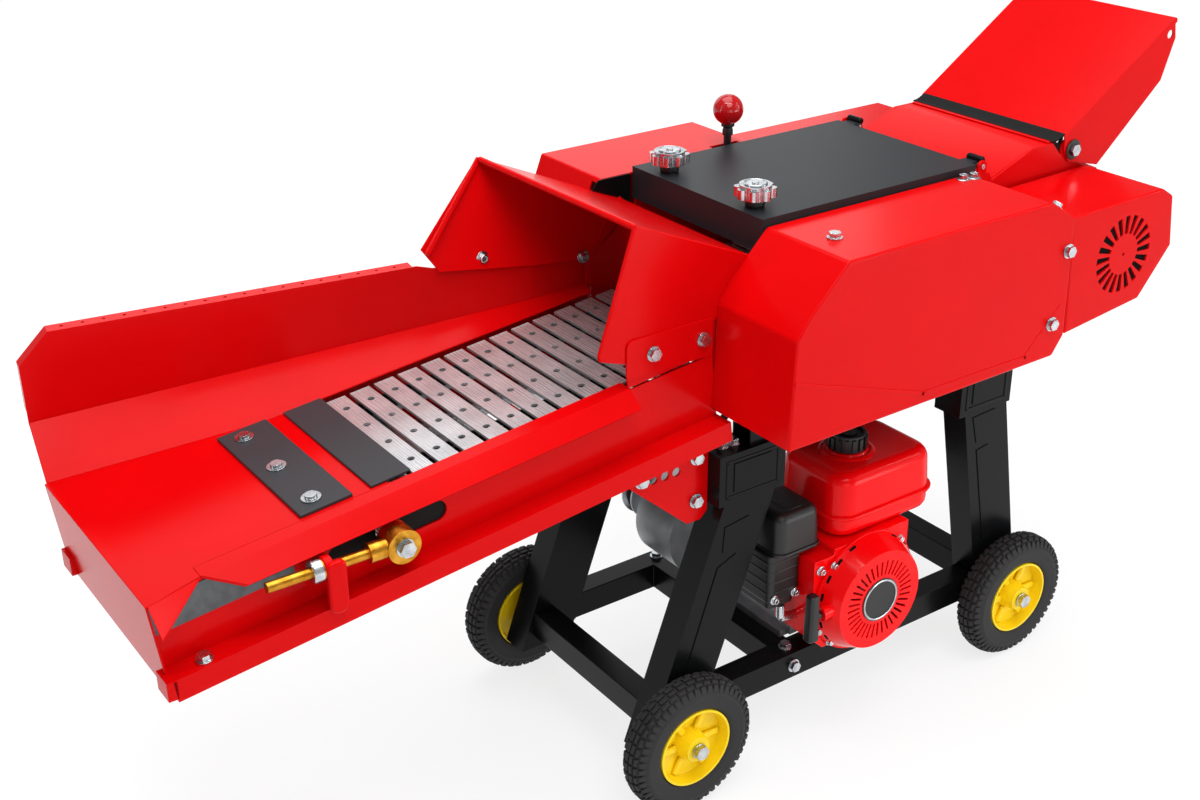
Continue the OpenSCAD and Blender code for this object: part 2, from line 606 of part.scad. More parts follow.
gearbox_y = [plate_y, 244];
head_far_y = gearbox_y[0] + 42;
module head_shaft() color(zinc) {
    sprockets(head_u);
    bar_y(head_x, head_z, shaft_d / 2, -gear_end_y, head_far_y);
    gear(head_x, head_z, teeth_small, phase_head, 0);
}
module tail_shaft() color(zinc) {
    sprockets(tail_u);
    both_sides() {
        bar_y(tail_x, tail_z, shaft_d / 2, -1, rod_y + 16);
        translate([tail_x, rod_y + 16, tail_z]) rotate([-90, 0, 0]) cylinder(r = 11, h = 8, $fn = 6);
    }
}

// Feed hood over the throat
hood_front_top = [-325, 900];
hood_rear_top = [-130, 817];
hood_far_y = 217;
hood_lap = 6;
// Where the plane through three points stands at x and z
function plane_y(p, q, r, x, z) = let (n = cross(q - p, r - p)) p[1] - (n[0] * (x - p[0]) + n[2] * (z - p[2])) / n[1];
module feed_hood() color(red) {
    side(-web_y - web_t, -web_y) polygon([[-384, 730], [-380, 724], [-341, 711], [-338, bed_level(-338) + 6.5],
        [-196, bed_level(-196) + 6.5], [-196, 735], [hood_rear_top[0], 800], hood_rear_top, hood_front_top]);
    near_front = [hood_front_top[0], -web_y, hood_front_top[1]];
    near_rear = [hood_rear_top[0], -web_y, hood_rear_top[1]];
    far_corner = [hood_rear_top[0], plate_y, hood_rear_top[1]];
    far_peak = [hood_front_top[0] - 13, hood_far_y, hood_front_top[1] + 2.5];
    plate_of([near_front, near_rear, far_corner], sheet_t);
    plate_of([near_front, far_corner, far_peak], sheet_t);
    // Far plate laps the guide board's inner face and leans out from it
    far_low = [-438, board_y(-438) - hood_lap, 764];
    far_mid = [board_rear[0], board_rear[1] - hood_lap, 748];
    far_rear = [-196, board_rear[1] - hood_lap, 737];
    far_foot = [-110, plate_y + 0.4, 799];
    far_top = [hood_rear_top[0], plate_y + 0.4, hood_rear_top[1] - 0.2];
    far_front = [far_peak[0], hood_far_y + 0.4, far_peak[2] - 0.2];
    far_corner_low = [-457, plane_y(far_low, far_mid, far_front, -457, 796), 796];
    lean_plate([far_low, far_mid, far_front]);
    lean_plate([far_corner_low, far_low, far_front]);
    lean_plate([far_mid, far_rear, far_front]);
    lean_plate([far_rear, far_foot, far_top]);
    lean_plate([far_rear, far_top, far_front]);
}
module lean_plate(p) polyhedron(points = concat(p, [for (q = p) q + [0, sheet_t, 0]]),
    faces = [[2, 1, 0], [3, 4, 5], [1, 4, 3, 0], [2, 5, 4, 1], [0, 3, 5, 2]]);

// Chamber
chamber_outline = [[-190, chamber_low], [rotor_x + 76, chamber_low], [rotor_x + 124, 660], [rotor_x + 128, 740],
    [rotor_x + 116, 806], [rotor_x + 21, 846], [rotor_x + 2, 866], [rotor_x - 43, 866], [rotor_x - 131, 832],
    [rotor_x - 138, plate_top], [lid_front_x, plate_top], [lid_front_x, 800], [-190, 735]];
module chamber_plate() difference() {
    side(plate_in_y, plate_y) union() {
        polygon(chamber_outline);
        translate(flap_pivot) circle(22);
        translate(lid_pivot) circle(9);
        translate([lid_pivot[0] - 9, plate_top - 1]) square([18, lid_pivot[1] - plate_top + 1]);
    }
    for (p = [[head_x, head_z], [roller_x, roller_low_z], [roller_x, roller_high_z]])
        bar_y(p[0], p[1], shaft_d / 2 + 2, plate_in_y - 1, plate_y + 1);
    bar_y(rotor_x, rotor_z, rotor_shaft_d / 2 + 2, plate_in_y - 1, plate_y + 1);
    bar_y(flap_pivot[0], flap_pivot[1], 6 + run_fit, plate_in_y - 1, plate_y + 1);
    bar_y(lid_pivot[0], lid_pivot[1], 4 + run_fit, plate_in_y - 1, plate_y + 1);
}
module chamber_sides() color(red) both_sides() chamber_plate();
bed_top = rotor_z;
bed_x1 = rotor_x - rotor_r - knife_gap;
bed_x0 = bed_x1 - 30;
latch_bar = [knob_x - 18, knob_x + 18, plate_top - 22, plate_top - 4];
stud_r = 5;
module chamber_floor() color("#6d7075") {
    half = plate_in_y;
    block(-60, rotor_x - 146, -half, half, chamber_low + 1, chamber_low + 4);
    bridge = [head_x + 30, roller_x - sqrt(pow(roller_r + 1, 2) - pow(24, 2))];
    side(-half, half) polygon([[bridge[0], head_z + 45.5], [bridge[1], roller_low_z + 24], [bridge[1], roller_low_z + 27],
        [bridge[0], head_z + 48.5]]);
    // Bed under the knife, scroll round the rotor and the rear wall
    side(-half, half) union() {
        translate([bed_x0, bed_top - 32]) square([26, 20]);
        difference() {
            translate([rotor_x, rotor_z]) circle(scroll_r + 3, $fn = 96);
            translate([rotor_x, rotor_z]) circle(scroll_r, $fn = 96);
            translate([rotor_x - 200, rotor_z - 20]) square([400, 400]);
        }
        translate([rotor_x + scroll_r - 2, rotor_z - 22]) square([3, 92]);
    }
    // Latch bar: a rear strip with blocks in front of it, and the knob studs stand in the slots between
    reach = stud_r + hole_gap;
    block(knob_x + 9, latch_bar[1], -half, half, latch_bar[2], latch_bar[3]);
    for (y = [[-half, -knob_y - reach], [-knob_y + reach, knob_y - reach], [knob_y + reach, half]])
        block(latch_bar[0], knob_x + 8.9, y[0], y[1], latch_bar[2], latch_bar[3]);
}
module discharge_duct() color(red) side(-plate_in_y, plate_in_y)
    polygon([[rotor_x - 136, 832], [rotor_x - 131, 829], [rotor_x - 42, 863], [rotor_x + 2, 863], [rotor_x + 2, 866],
        [rotor_x - 43, 866]]);
module bed_knife() color(zinc) block(bed_x0, bed_x1, -plate_in_y, plate_in_y, bed_top - 12, bed_top);

// Side covers
gear_outline = [[-194, 602], [roller_x + 40, 606], [roller_x + 61, 635], [roller_x + 55, 820],
    [roller_x + 4, cover_top], [-104, cover_top], [-167, 790], [-188, 761]];
vent_outline = [[rotor_x - 115, 628], [rotor_x + 53, 646], [rotor_x + 117, 721], [rotor_x + 104, 804],
    [rotor_x + 79, 819], [rotor_x - 127, 815]];
belt_outline = [[-190, 602], [rotor_x + 76, 602], [rotor_x + 120, 672], [rotor_x + 120, 772], [rotor_x + 84, 816],
    [rotor_x - 300, 816], [rotor_x - 342, cover_top], [-165, cover_top], [-186, 800], [-190, 740]];
// The belt cover stands clear of the hood's far plate below its top
belt_notch = [-200, -120, 174, 700, cover_top - 7];
module tray(outline, y0, y1) difference() {
    side(y0, y1) polygon(outline);
    side(y0 - 1, y1 - sheet_t) polygon(inset(outline, sheet_t));
}
module gear_cover() color(red) mirror([0, 1, 0]) tray(gear_outline, cover_in_y, cover_y);
vent_x = rotor_x + 1;
vent_z = 731;
vent_y = 306;
module vent_cover() color(red) mirror([0, 1, 0]) difference() {
    tray(vent_outline, cover_in_y + 4, vent_y);
    for (k = [0 : 19]) translate([vent_x, 0, vent_z]) rotate([0, k * 18, 0])
        block(33, 60, vent_y - sheet_t - 1, vent_y + 1, -2.6, 2.6);
}
lever_x = head_x + 6;
lever_y = 176;
lever_pivot_z = 776;
lever_slot = 28;
module belt_cover() color(red) difference() {
    tray(belt_outline, cover_in_y + 1.2, cover_y);
    block(-10, rotor_x + 64, cover_in_y - 1, cover_y - 12, 590, 610);
    block(belt_notch[0], belt_notch[1], cover_in_y - 1, belt_notch[2], belt_notch[3], belt_notch[4]);
    block(lever_x - lever_slot, lever_x + lever_slot, cover_in_y - 1, lever_y + 12, cover_top - 8, cover_top + 1);
}

// Lid, its knobs and its knuckles
module top_cover() color("#222326") {
    low = plate_top + body_gap;
    difference() {
        union() {
            block(lid_front_x, lid_rear_x, -plate_y, plate_y, lid_top - sheet_t, lid_top);
            both_sides() block(lid_front_x, lid_rear_x, plate_y - sheet_t, plate_y, low, lid_top);
            block(lid_front_x - 3, lid_front_x, -plate_y, plate_y, lid_top - 49, lid_top);
            side(-108, 108) polygon([[lid_rear_x, lid_top - sheet_t], [lid_rear_x + 28, lid_top - 17],
                [lid_rear_x + 28, lid_top - 14], [lid_rear_x, lid_top]]);
            both_sides() {
                block(lid_rear_x - 1, lid_pivot[0], 116, 140, lid_top - sheet_t, lid_top);
                bar_y(lid_pivot[0], lid_pivot[1], 6, 116, 140);
            }
        }
        both_sides() bar_y(lid_pivot[0], lid_pivot[1], 4 + run_fit, 110, 145);
        for (s = [-1, 1]) translate([knob_x, s * knob_y, lid_top - 10]) cylinder(r = stud_r + hole_gap, h = 20);
    }
}
module knob(s) color(zinc) translate([knob_x, s * knob_y, 0]) {
    translate([0, 0, latch_bar[2] + 2]) cylinder(r = stud_r, h = lid_top + 8 - latch_bar[2]);
    translate([0, 0, lid_top + body_gap]) cylinder(r = 11, h = 12);
    translate([0, 0, lid_top + 12]) cylinder(r = 23, h = 20);
    translate([0, 0, lid_top + 14]) for (k = [0 : 7]) rotate(k * 45) translate([23, 0, 0]) cylinder(r = 7, h = 14);
}

// Discharge flap; drawn level at its pivot, then set to its rest angle
module chute_flap() color(red) translate([flap_pivot[0], 0, flap_pivot[1]]) rotate([0, -flap_angle, 0]) {
    back = -4;
    rise = 32;
    difference() {
        union() {
            block(back, flap_l, -flap_side_y - 3, flap_side_y + 3, rise - 3, rise);
            both_sides() side(flap_side_y, flap_side_y + 3) union() {
                polygon([[back, rise], [-16, 12], [-16, -12], [34, -66], [210, -42], [flap_l - 10, 0], [flap_l, rise - 6],
                    [flap_l, rise]]);
            }
            translate([flap_l, flap_side_y + 3, rise - 5]) rotate([90, 0, 0]) cylinder(r = 5, h = 2 * flap_side_y + 6);
        }
        bar_y(0, 0, 6 + run_fit, -flap_side_y - 5, flap_side_y + 5);
        bar_y(flap_l - 18, 14, 7, -flap_side_y - 5, flap_side_y + 5);
    }
}

// Feed drive
module clutch_lever() color(black) difference() {
    union() {
        bar_y(lever_x, lever_pivot_z, 13, lever_y - 7, lever_y + 7);
        translate([lever_x, lever_y, lever_pivot_z]) cylinder(r = 6, h = 118);
        translate([lever_x, lever_y, lever_pivot_z + 135]) sphere(24);
    }
    bar_y(lever_x, lever_pivot_z, 5 + run_fit, lever_y - 10, lever_y + 10);
}
module feed_gearbox() color("#a9adb1") difference() {
    union() {
        block(head_x - 52, head_x + 52, gearbox_y[0], gearbox_y[1], head_z - 48, head_z + 90);
        bar_y(head_x, head_z, 38, gearbox_y[0], gearbox_y[1] + 4);
        bar_y(input_x, input_z, 26, gearbox_y[0], gearbox_y[1] + 4);
        for (k = [-1, 1]) block(head_x + k * 44 - 3, head_x + k * 44 + 3, gearbox_y[0] + 10, gearbox_y[1] + 3, head_z - 40, head_z + 88);
        block(lever_x - 15, lever_x + 15, lever_y + 9, lever_y + 23, head_z + 84, lever_pivot_z + 15);
        bar_y(lever_x, lever_pivot_z, 5, lever_y - 8, lever_y + 12);
    }
    bar_y(head_x, head_z, shaft_d / 2 + run_fit, gearbox_y[0] - 1, head_far_y + 2);
    bar_y(input_x, input_z, 10 + run_fit, gearbox_y[1] - 30, gearbox_y[1] + 10);
}
// V groove pulley along Y, centred on y
module pulley(x, z, r, y, w) translate([x, y, z]) rotate([90, 0, 0]) rotate_extrude()
    polygon([[0, -w / 2], [r + 5, -w / 2], [r + 5, -w / 2 + 3], [r - belt_t, -5], [r - belt_t, 5], [r + 5, w / 2 - 3],
        [r + 5, w / 2], [0, w / 2]]);
module input_pulley() color(zinc) {
    pulley(input_x, input_z, input_pulley_r, feed_belt_y, 24);
    bar_y(input_x, input_z, 10, gearbox_y[1] - 28, feed_belt_y);
}
// Belt round two pulleys, flush with their rims
module belt_shape(p, rp, q, rq) hull() {
    translate(p) circle(rp);
    translate(q) circle(rq);
}
module belt(p, rp, q, rq, y) difference() {
    side(y - 4.6, y + 4.6) belt_shape(p, rp, q, rq);
    side(y - 6, y + 6) belt_shape(p, rp - belt_t + body_gap, q, rq - belt_t + body_gap);
}
module drive_belts() color("#151515") {
    belt([output_x, output_z], engine_pulley_r, [rotor_x, rotor_z], rotor_pulley_r, belt_y);
    belt([input_x, input_z], input_pulley_r, [rotor_x, rotor_z], feed_pulley_r, feed_belt_y);
}
roller_ribs = 10;
module roller(z, phase) {
    bar_y(roller_x, z, roller_r - 6, -plate_in_y + 8, plate_in_y - 8);
    translate([roller_x, plate_in_y - 8, z]) rotate([90, 0, 0]) linear_extrude(2 * plate_in_y - 16)
        for (k = [0 : roller_ribs - 1]) rotate(k * 360 / roller_ribs) translate([roller_r - 9, -3]) square([9, 6]);
    bar_y(roller_x, z, shaft_d / 2, -gear_end_y, plate_y + bearing_h + 2);
    gear(roller_x, z, teeth_small, phase, 0);
}
module lower_feed_roller() color("#8b8f94") roller(roller_low_z, phase_low);
module upper_feed_roller() color("#8b8f94") roller(roller_high_z, phase_high);
idler_pin_r = 12;
module idler_gear() color("#8b8f94") gear(idler_x, idler_z, teeth_idler, phase_idler, idler_pin_r + run_fit);

// Rotor
disc_y = [-96, 0, 96];
knife_t = 8;
module rotor_shaft() color("#7d8187") {
    bar_y(rotor_x, rotor_z, rotor_shaft_d / 2, -plate_y - bearing_h - 6, feed_belt_y + 14);
    for (y = disc_y) translate([rotor_x, y + 7, rotor_z]) rotate([90, 0, 0]) linear_extrude(14) {
        circle(58);
        for (k = [0 : knife_count - 1]) rotate(k * 360 / knife_count) translate([30, -16]) square([68, 16]);
    }
    pulley(rotor_x, rotor_z, rotor_pulley_r, belt_y, 28);
    pulley(rotor_x, rotor_z, feed_pulley_r, feed_belt_y, 24);
}
module rotor_knives() color(zinc) translate([rotor_x, slat_l / 2, rotor_z]) rotate([90, 0, 0]) linear_extrude(slat_l)
    for (k = [0 : knife_count - 1]) rotate(k * 360 / knife_count)
        polygon([[60, 0], [rotor_r - 12, 0], [rotor_r - 1, knife_t], [60, knife_t]]);

// Flange bearings and the idler's pin
module bearing(x, z, d, s) {
    y0 = s > 0 ? plate_y : -plate_y - bearing_h;
    difference() {
        union() {
            bar_y(x, z, d / 2 + 21, s > 0 ? plate_y : -plate_y - 10, s > 0 ? plate_y + 10 : -plate_y);
            bar_y(x, z, d / 2 + 12, y0, y0 + bearing_h);
        }
        bar_y(x, z, d / 2 + run_fit, -plate_y - 40, plate_y + 40);
    }
}
module shaft_bearings() color("#3f6b4f") {
    bearing(head_x, head_z, shaft_d, -1);
    for (s = [-1, 1]) {
        bearing(roller_x, roller_low_z, shaft_d, s);
        bearing(roller_x, roller_high_z, shaft_d, s);
        bearing(rotor_x, rotor_z, rotor_shaft_d, s);
    }
    bar_y(idler_x, idler_z, 22, -gear_y + body_gap, -plate_y);
    bar_y(idler_x, idler_z, idler_pin_r, -gear_end_y, -plate_y);
}

// Engine
case_front_y = -150;
module crankcase() color("#a9adb1") difference() {
    union() {
        block(-34, 150, -142, 52, rail_top, rail_top + 12);
        block(-20, 136, case_front_y, 44, rail_top + 4, 318);
        bar_y(crank_x, crank_z, 70, 40, 74);
        bar_y(output_x, output_z, 78, 36, 128);
        bar_y(output_x, output_z, 40, 128, 150);
        for (k = [0 : 7]) rotate([0, 0, 0]) block(136, 166, -130, 20, 238 + k * 11, 243 + k * 11);
        block(130, 160, -118, 8, 236, 322);
        for (x = [20, 180]) block(x - 8, x + 8, -120, -90, 300, tank[4]);
        block(120, 190, -120, -90, 300, 316);
        translate([filter_base_x, -130, 308]) rotate([0, 90, 0]) cylinder(r = 16, h = -10 - filter_base_x);
    }
    bar_y(output_x, output_z, 12.5 + run_fit, 108, 160);
}
shroud_y = [-234, case_front_y];
shroud_top = 350;
filter_box = [-111, -24, -216, -112, 345, 424];
filter_base_x = -56;
filter_low = 260;
shroud_left = filter_base_x + 1;
shroud_outline = [[shroud_left, 204], [shroud_left + 26, 180], [crank_x, 180], [crank_x + 90, 246],
    [crank_x + 90, shroud_top], [-16, shroud_top], [-16, filter_box[4] - 5], [shroud_left, filter_box[4] - 5]];
module shroud_shape(grow) intersection() {
    union() {
        translate([crank_x, crank_z]) circle(100 + grow, $fn = 96);
        polygon(inset(shroud_outline, -grow));
    }
    translate([crank_x - 200, 100]) square([400, shroud_top + grow - 100]);
}
module fan_shroud() color(red) difference() {
    side(shroud_y[0], shroud_y[1]) shroud_shape(0);
    side(shroud_y[0] - 1, shroud_y[1] + 1) shroud_shape(-3);
}
recoil_y = -272;
recoil_slots = 36;
rope_z = crank_z + 4;
module recoil_cover() color(red) difference() {
    union() {
        translate([crank_x, shroud_y[0], crank_z]) rotate([90, 0, 0]) difference() {
            union() {
                cylinder(r = 100, h = 4);
                translate([0, 0, 4]) cylinder(r1 = 98, r2 = recoil_r + 2, h = 8);
                translate([0, 0, 12]) cylinder(r1 = recoil_r + 2, r2 = recoil_r - 10, h = shroud_y[0] - recoil_y - 12);
            }
            translate([0, 0, -1]) cylinder(r = recoil_r - 1, h = 13.01);
            translate([0, 0, 12]) cylinder(r1 = recoil_r - 1, r2 = recoil_r - 12, h = shroud_y[0] - recoil_y - 15);
        }
        translate([crank_x - recoil_r - 12, recoil_y + 18, rope_z]) rotate([0, 90, 0]) cylinder(r = 11, h = 22);
    }
    for (k = [0 : recoil_slots - 1]) translate([crank_x, 0, crank_z]) rotate([0, k * 360 / recoil_slots, 0])
        block(42, 66, recoil_y - 1, recoil_y + 5, -1.7, 1.7);
    translate([crank_x - recoil_r - 20, recoil_y + 18, rope_z]) rotate([0, 90, 0]) cylinder(r = 4, h = 40);
}
module starter_handle() color(black) {
    grip_x = crank_x - recoil_r - 30;
    translate([grip_x, recoil_y + 18, rope_z - 40]) cylinder(r = 10, h = 80);
    translate([grip_x, recoil_y + 18, rope_z]) rotate([0, 90, 0]) cylinder(r = 6, h = 18 - body_gap);
    translate([grip_x, recoil_y + 18, rope_z]) rotate([0, 90, 0]) cylinder(r = 2.5, h = 150);
}
tank = [-10, 206, -233, -70, 351, 458];
tank_seam = 390;
cap_at = [76, -152];
module tank_half(z0, z1, grow, r) hull() for (x = [tank[0] + r + grow, tank[1] - r - grow], y = [tank[2] + r + grow, tank[3] - r - grow])
    for (z = [z0, z1]) translate([x, y, z]) sphere(r, $fn = 24);
module fuel_tank() color(red) {
    intersection() {
        tank_half(tank[4] + 30, tank[5] - 30, 6, 30);
        block(tank[0], tank[1], tank[2], tank[3], tank[4], tank[5]);
    }
    hull() for (x = [tank[0] + 24, tank[1] - 24], y = [tank[2] + 24, tank[3] - 24])
        translate([x, y, tank_seam - 2]) cylinder(r = 24, h = 4, $fn = 32);
    translate([cap_at[0], cap_at[1], tank[5] - 6]) cylinder(r = 32, h = 10);
}
module fuel_cap() color(black) translate([cap_at[0], cap_at[1], tank[5] + 4 + body_gap]) difference() {
    union() {
        cylinder(r = 28, h = 26);
        for (k = [0 : 15]) rotate(k * 22.5) translate([27, -3, 2]) cube([4, 6, 20]);
    }
    translate([0, 0, 22]) difference() {
        cylinder(r = 24, h = 10);
        cylinder(r = 14, h = 10);
    }
}
module air_filter() color(black) {
    hull() for (x = [filter_box[0] + 14, filter_box[1] - 14], y = [filter_box[2] + 14, filter_box[3] - 14])
        for (z = [filter_box[4] + 15, filter_box[5] - 14]) translate([x, y, z]) sphere(14, $fn = 24);
    block(filter_box[0] - 1, filter_box[1], filter_box[2] - 2, filter_box[3], filter_box[4] + 10, filter_box[4] + 16);
    block(filter_box[0] - 8, filter_base_x, filter_box[2] + 8, filter_box[3], filter_low, filter_box[4] + 12);
}
module muffler() color("#4a4b4d") {
    hull() for (y = [-44, 14], z = [262, 330]) translate([166, y, z]) rotate([0, 90, 0]) cylinder(r = 18, h = 62, $fn = 32);
    translate([199, -16, 345]) cylinder(r = 9, h = 24);
}
module engine_pulley() color(zinc) {
    pulley(output_x, output_z, engine_pulley_r, belt_y, 28);
    bar_y(output_x, output_z, 12.5, 110, belt_y);
}

placed() legs();
placed() base_rails();
placed() bracket_plates();
placed() axle_pins();
placed() fasteners();
placed() conveyor_beams();
placed() feed_table();
placed() guide_board();
placed() cover_plates();
placed() table_web();
placed() chain_rails();
placed() tension_brackets();
placed() tension_rods();
placed() upper_slats();
placed() upper_chain();
placed() lower_run();
placed() head_slats();
placed() tail_slats();
placed() head_shaft();
placed() tail_shaft();
placed() feed_hood();
placed() chamber_sides();
placed() chamber_floor();
placed() discharge_duct();
placed() bed_knife();
placed() gear_cover();
placed() vent_cover();
placed() belt_cover();
placed() top_cover();
placed() knob(1);  // knob_left
placed() knob(-1);  // knob_right
placed() chute_flap();
placed() clutch_lever();
placed() feed_gearbox();
placed() input_pulley();
placed() lower_feed_roller();
placed() upper_feed_roller();
placed() idler_gear();
placed() rotor_shaft();
placed() rotor_knives();
placed() shaft_bearings();
placed() drive_belts();
placed() crankcase();
placed() fan_shroud();
placed() recoil_cover();
placed() starter_handle();
placed() fuel_tank();
placed() fuel_cap();
placed() air_filter();
placed() muffler();
placed() engine_pulley();
placed() tyre(wheel_front_x, -1);  // front_right_tyre
placed() tyre(wheel_front_x, 1);  // front_left_tyre
placed() tyre(wheel_rear_x, -1);  // rear_right_tyre
placed() tyre(wheel_rear_x, 1);  // rear_left_tyre
placed() rim(wheel_front_x, -1);  // front_right_rim
placed() rim(wheel_front_x, 1);  // front_left_rim
placed() rim(wheel_rear_x, -1);  // rear_right_rim
placed() rim(wheel_rear_x, 1);  // rear_left_rim
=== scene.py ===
"""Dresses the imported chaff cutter: finishes, bent-sheet and fastener detail, stage and camera."""
import json
import math

import bpy
from bpy.props import FloatProperty, PointerProperty, StringProperty
from mathutils import Matrix, Vector

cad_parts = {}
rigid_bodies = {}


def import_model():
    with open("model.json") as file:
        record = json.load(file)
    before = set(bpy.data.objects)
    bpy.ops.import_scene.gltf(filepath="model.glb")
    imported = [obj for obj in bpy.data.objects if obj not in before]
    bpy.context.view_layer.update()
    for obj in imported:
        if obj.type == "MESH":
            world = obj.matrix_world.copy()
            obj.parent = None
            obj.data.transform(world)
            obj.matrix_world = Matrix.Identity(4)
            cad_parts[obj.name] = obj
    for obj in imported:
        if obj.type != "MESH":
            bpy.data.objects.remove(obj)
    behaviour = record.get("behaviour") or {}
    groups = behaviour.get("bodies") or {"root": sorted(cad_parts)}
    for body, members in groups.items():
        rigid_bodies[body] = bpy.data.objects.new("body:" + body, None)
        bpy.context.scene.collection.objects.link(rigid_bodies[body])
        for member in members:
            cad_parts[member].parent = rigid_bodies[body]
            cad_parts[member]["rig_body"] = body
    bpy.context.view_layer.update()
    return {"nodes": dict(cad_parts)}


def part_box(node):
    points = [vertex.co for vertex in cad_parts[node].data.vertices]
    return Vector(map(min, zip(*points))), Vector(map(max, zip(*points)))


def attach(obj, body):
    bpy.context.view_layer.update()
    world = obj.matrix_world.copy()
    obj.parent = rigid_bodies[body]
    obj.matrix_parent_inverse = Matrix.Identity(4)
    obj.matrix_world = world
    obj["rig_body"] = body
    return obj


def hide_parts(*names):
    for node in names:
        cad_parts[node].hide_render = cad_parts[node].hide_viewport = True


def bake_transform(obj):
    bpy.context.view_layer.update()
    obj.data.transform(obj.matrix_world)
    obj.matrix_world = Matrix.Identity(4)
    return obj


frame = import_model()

bl_info = {
    "name": "Chaff cutter dressing",
    "version": (1, 0, 0),
    "blender": (4, 5, 0),
    "location": "View3D > Sidebar > Chaff cutter",
    "description": "Finishes and fine detail for a wheeled chaff cutter",
    "category": "Object",
}

NODES = frame["nodes"]


# Sizes and colours a user would change

class CutterFinish(bpy.types.PropertyGroup):
    """Colours of the paints, platings and rubbers, as sRGB hex"""
    red: StringProperty(name="Red", description="Powder coat on the sheet metal", default="#D20407")
    engine_red: StringProperty(name="Engine red", description="Enamel on the engine", default="#F6060B")
    black: StringProperty(name="Black", description="Powder coat on the legs and rails", default="#0D0E0F")
    lid: StringProperty(name="Lid", description="Satin paint on the lid", default="#25272A")
    plate: StringProperty(name="Bolted plates", description="Phosphated plates on the table",
                          default="#2F3235")
    yellow: StringProperty(name="Rim yellow", description="Paint on the wheel rims", default="#F7D412")
    peel: FloatProperty(name="Orange peel", description="Width of the ripples in the powder coat",
                        default=0.0022, unit="LENGTH")


class CutterSizes(bpy.types.PropertyGroup):
    """Small sizes of the dressing"""
    bend: FloatProperty(name="Bend radius", description="Rounding of the bent sheet edges",
                        default=0.0025, unit="LENGTH")
    camera_lens: FloatProperty(name="Lens", description="Focal length on a 36 mm sensor", default=47.8)


# Materials

def linear(code):
    """An sRGB hex colour as linear red, green, blue and alpha."""
    parts = [int(code[i:i + 2], 16) / 255 for i in (1, 3, 5)]
    return [c / 12.92 if c <= 0.04045 else ((c + 0.055) / 1.055) ** 2.4 for c in parts] + [1.0]


def add(tree, kind, links=None, values=None, **settings):
    """A node of that kind, with its settings, its socket values and the sockets that feed it."""
    node = tree.nodes.new(kind)
    for key, value in settings.items():
        setattr(node, key, value)
    for key, value in (values or {}).items():
        node.inputs[key].default_value = value
    for key, source in (links or {}).items():
        tree.links.new(source, node.inputs[key])
    return node


def start(name):
    """A new material: its tree, its surface shader and the piece's own coordinates."""
    made = bpy.data.materials.new(name)
    made.use_nodes = True
    tree = made.node_tree
    shader = tree.nodes["Principled BSDF"]
    place = add(tree, "ShaderNodeTexCoord").outputs["Object"]
    return made, tree, shader, place


def shade(code, by):
    """A hex colour made lighter or darker by a factor."""
    return "#" + "".join(f"{max(0, min(255, round(int(code[i:i + 2], 16) * by))):02X}" for i in (1, 3, 5))


def surface(tree, shader, colour, rough, relief=None, values=None):
    """Wires a shader: colour and roughness between two ends by a pattern, relief in metres, plain values."""
    pattern, low, high, first, last = colour
    tint = add(tree, "ShaderNodeValToRGB", {"Fac": pattern.outputs[0]})
    tint.color_ramp.elements[0].position = low
    tint.color_ramp.elements[0].color = linear(first)
    tint.color_ramp.elements[1].position = high
    tint.color_ramp.elements[1].color = linear(last)
    tree.links.new(tint.outputs["Color"], shader.inputs["Base Color"])
    pattern, low, high = rough
    sheen = add(tree, "ShaderNodeMapRange", {"Value": pattern.outputs[0]}, {"To Min": low, "To Max": high})
    tree.links.new(sheen.outputs["Result"], shader.inputs["Roughness"])
    if relief:
        pattern, strength, depth = relief
        bump = add(tree, "ShaderNodeBump", {"Height": pattern.outputs[0]},
                   {"Strength": strength, "Distance": depth})
        tree.links.new(bump.outputs["Normal"], shader.inputs["Normal"])
    for key, value in (values or {}).items():
        shader.inputs[key].default_value = value


def powder_coat(name, code, roughness, peel, gloss=0.3):
    """Baked polyester powder: even colour, a soft gloss and ripples of orange peel about 2 mm wide."""
    made, tree, shader, place = start(name)
    cloud = add(tree, "ShaderNodeTexNoise", {"Vector": place}, {"Scale": 9.0, "Detail": 3.0})
    ripple = add(tree, "ShaderNodeTexNoise", {"Vector": place}, {"Scale": 1 / peel, "Detail": 1.0})
    surface(tree, shader, (cloud, 0.3, 0.7, shade(code, 0.98), shade(code, 1.01)),
            (cloud, roughness * 0.95, roughness * 1.05), (ripple, 0.05, 0.0006),
            {"IOR": 1.5, "Specular IOR Level": gloss})
    return made


def plated_steel(name, first, last, roughness, grit=0.004):
    """Zinc-plated steel: bright, a little cloudy from the bath, with fine grit in the gloss."""
    made, tree, shader, place = start(name)
    cloud = add(tree, "ShaderNodeTexNoise", {"Vector": place}, {"Scale": 70.0, "Detail": 4.0})
    fine = add(tree, "ShaderNodeTexNoise", {"Vector": place}, {"Scale": 1 / grit, "Detail": 2.0})
    surface(tree, shader, (cloud, 0.35, 0.65, first, last), (fine, roughness * 0.7, roughness * 1.4),
            values={"Metallic": 1.0})
    return made


def brushed_stainless(name, first, last, roughness, metallic=1.0):
    """Brushed steel: grain along Y, drawn coarser than life so that it shows, under soft smears."""
    made, tree, shader, place = start(name)
    stretch = add(tree, "ShaderNodeMapping", {"Vector": place}, {"Scale": (900.0, 14.0, 900.0)})
    grain = add(tree, "ShaderNodeTexNoise", {"Vector": stretch.outputs["Vector"]},
                {"Scale": 1.0, "Detail": 3.0})
    smear = add(tree, "ShaderNodeTexNoise", {"Vector": place}, {"Scale": 22.0, "Detail": 3.0})
    surface(tree, shader, (smear, 0.35, 0.7, first, last), (grain, roughness * 0.6, roughness * 1.5),
            (grain, 0.08, 0.0004), {"Metallic": metallic})
    return made


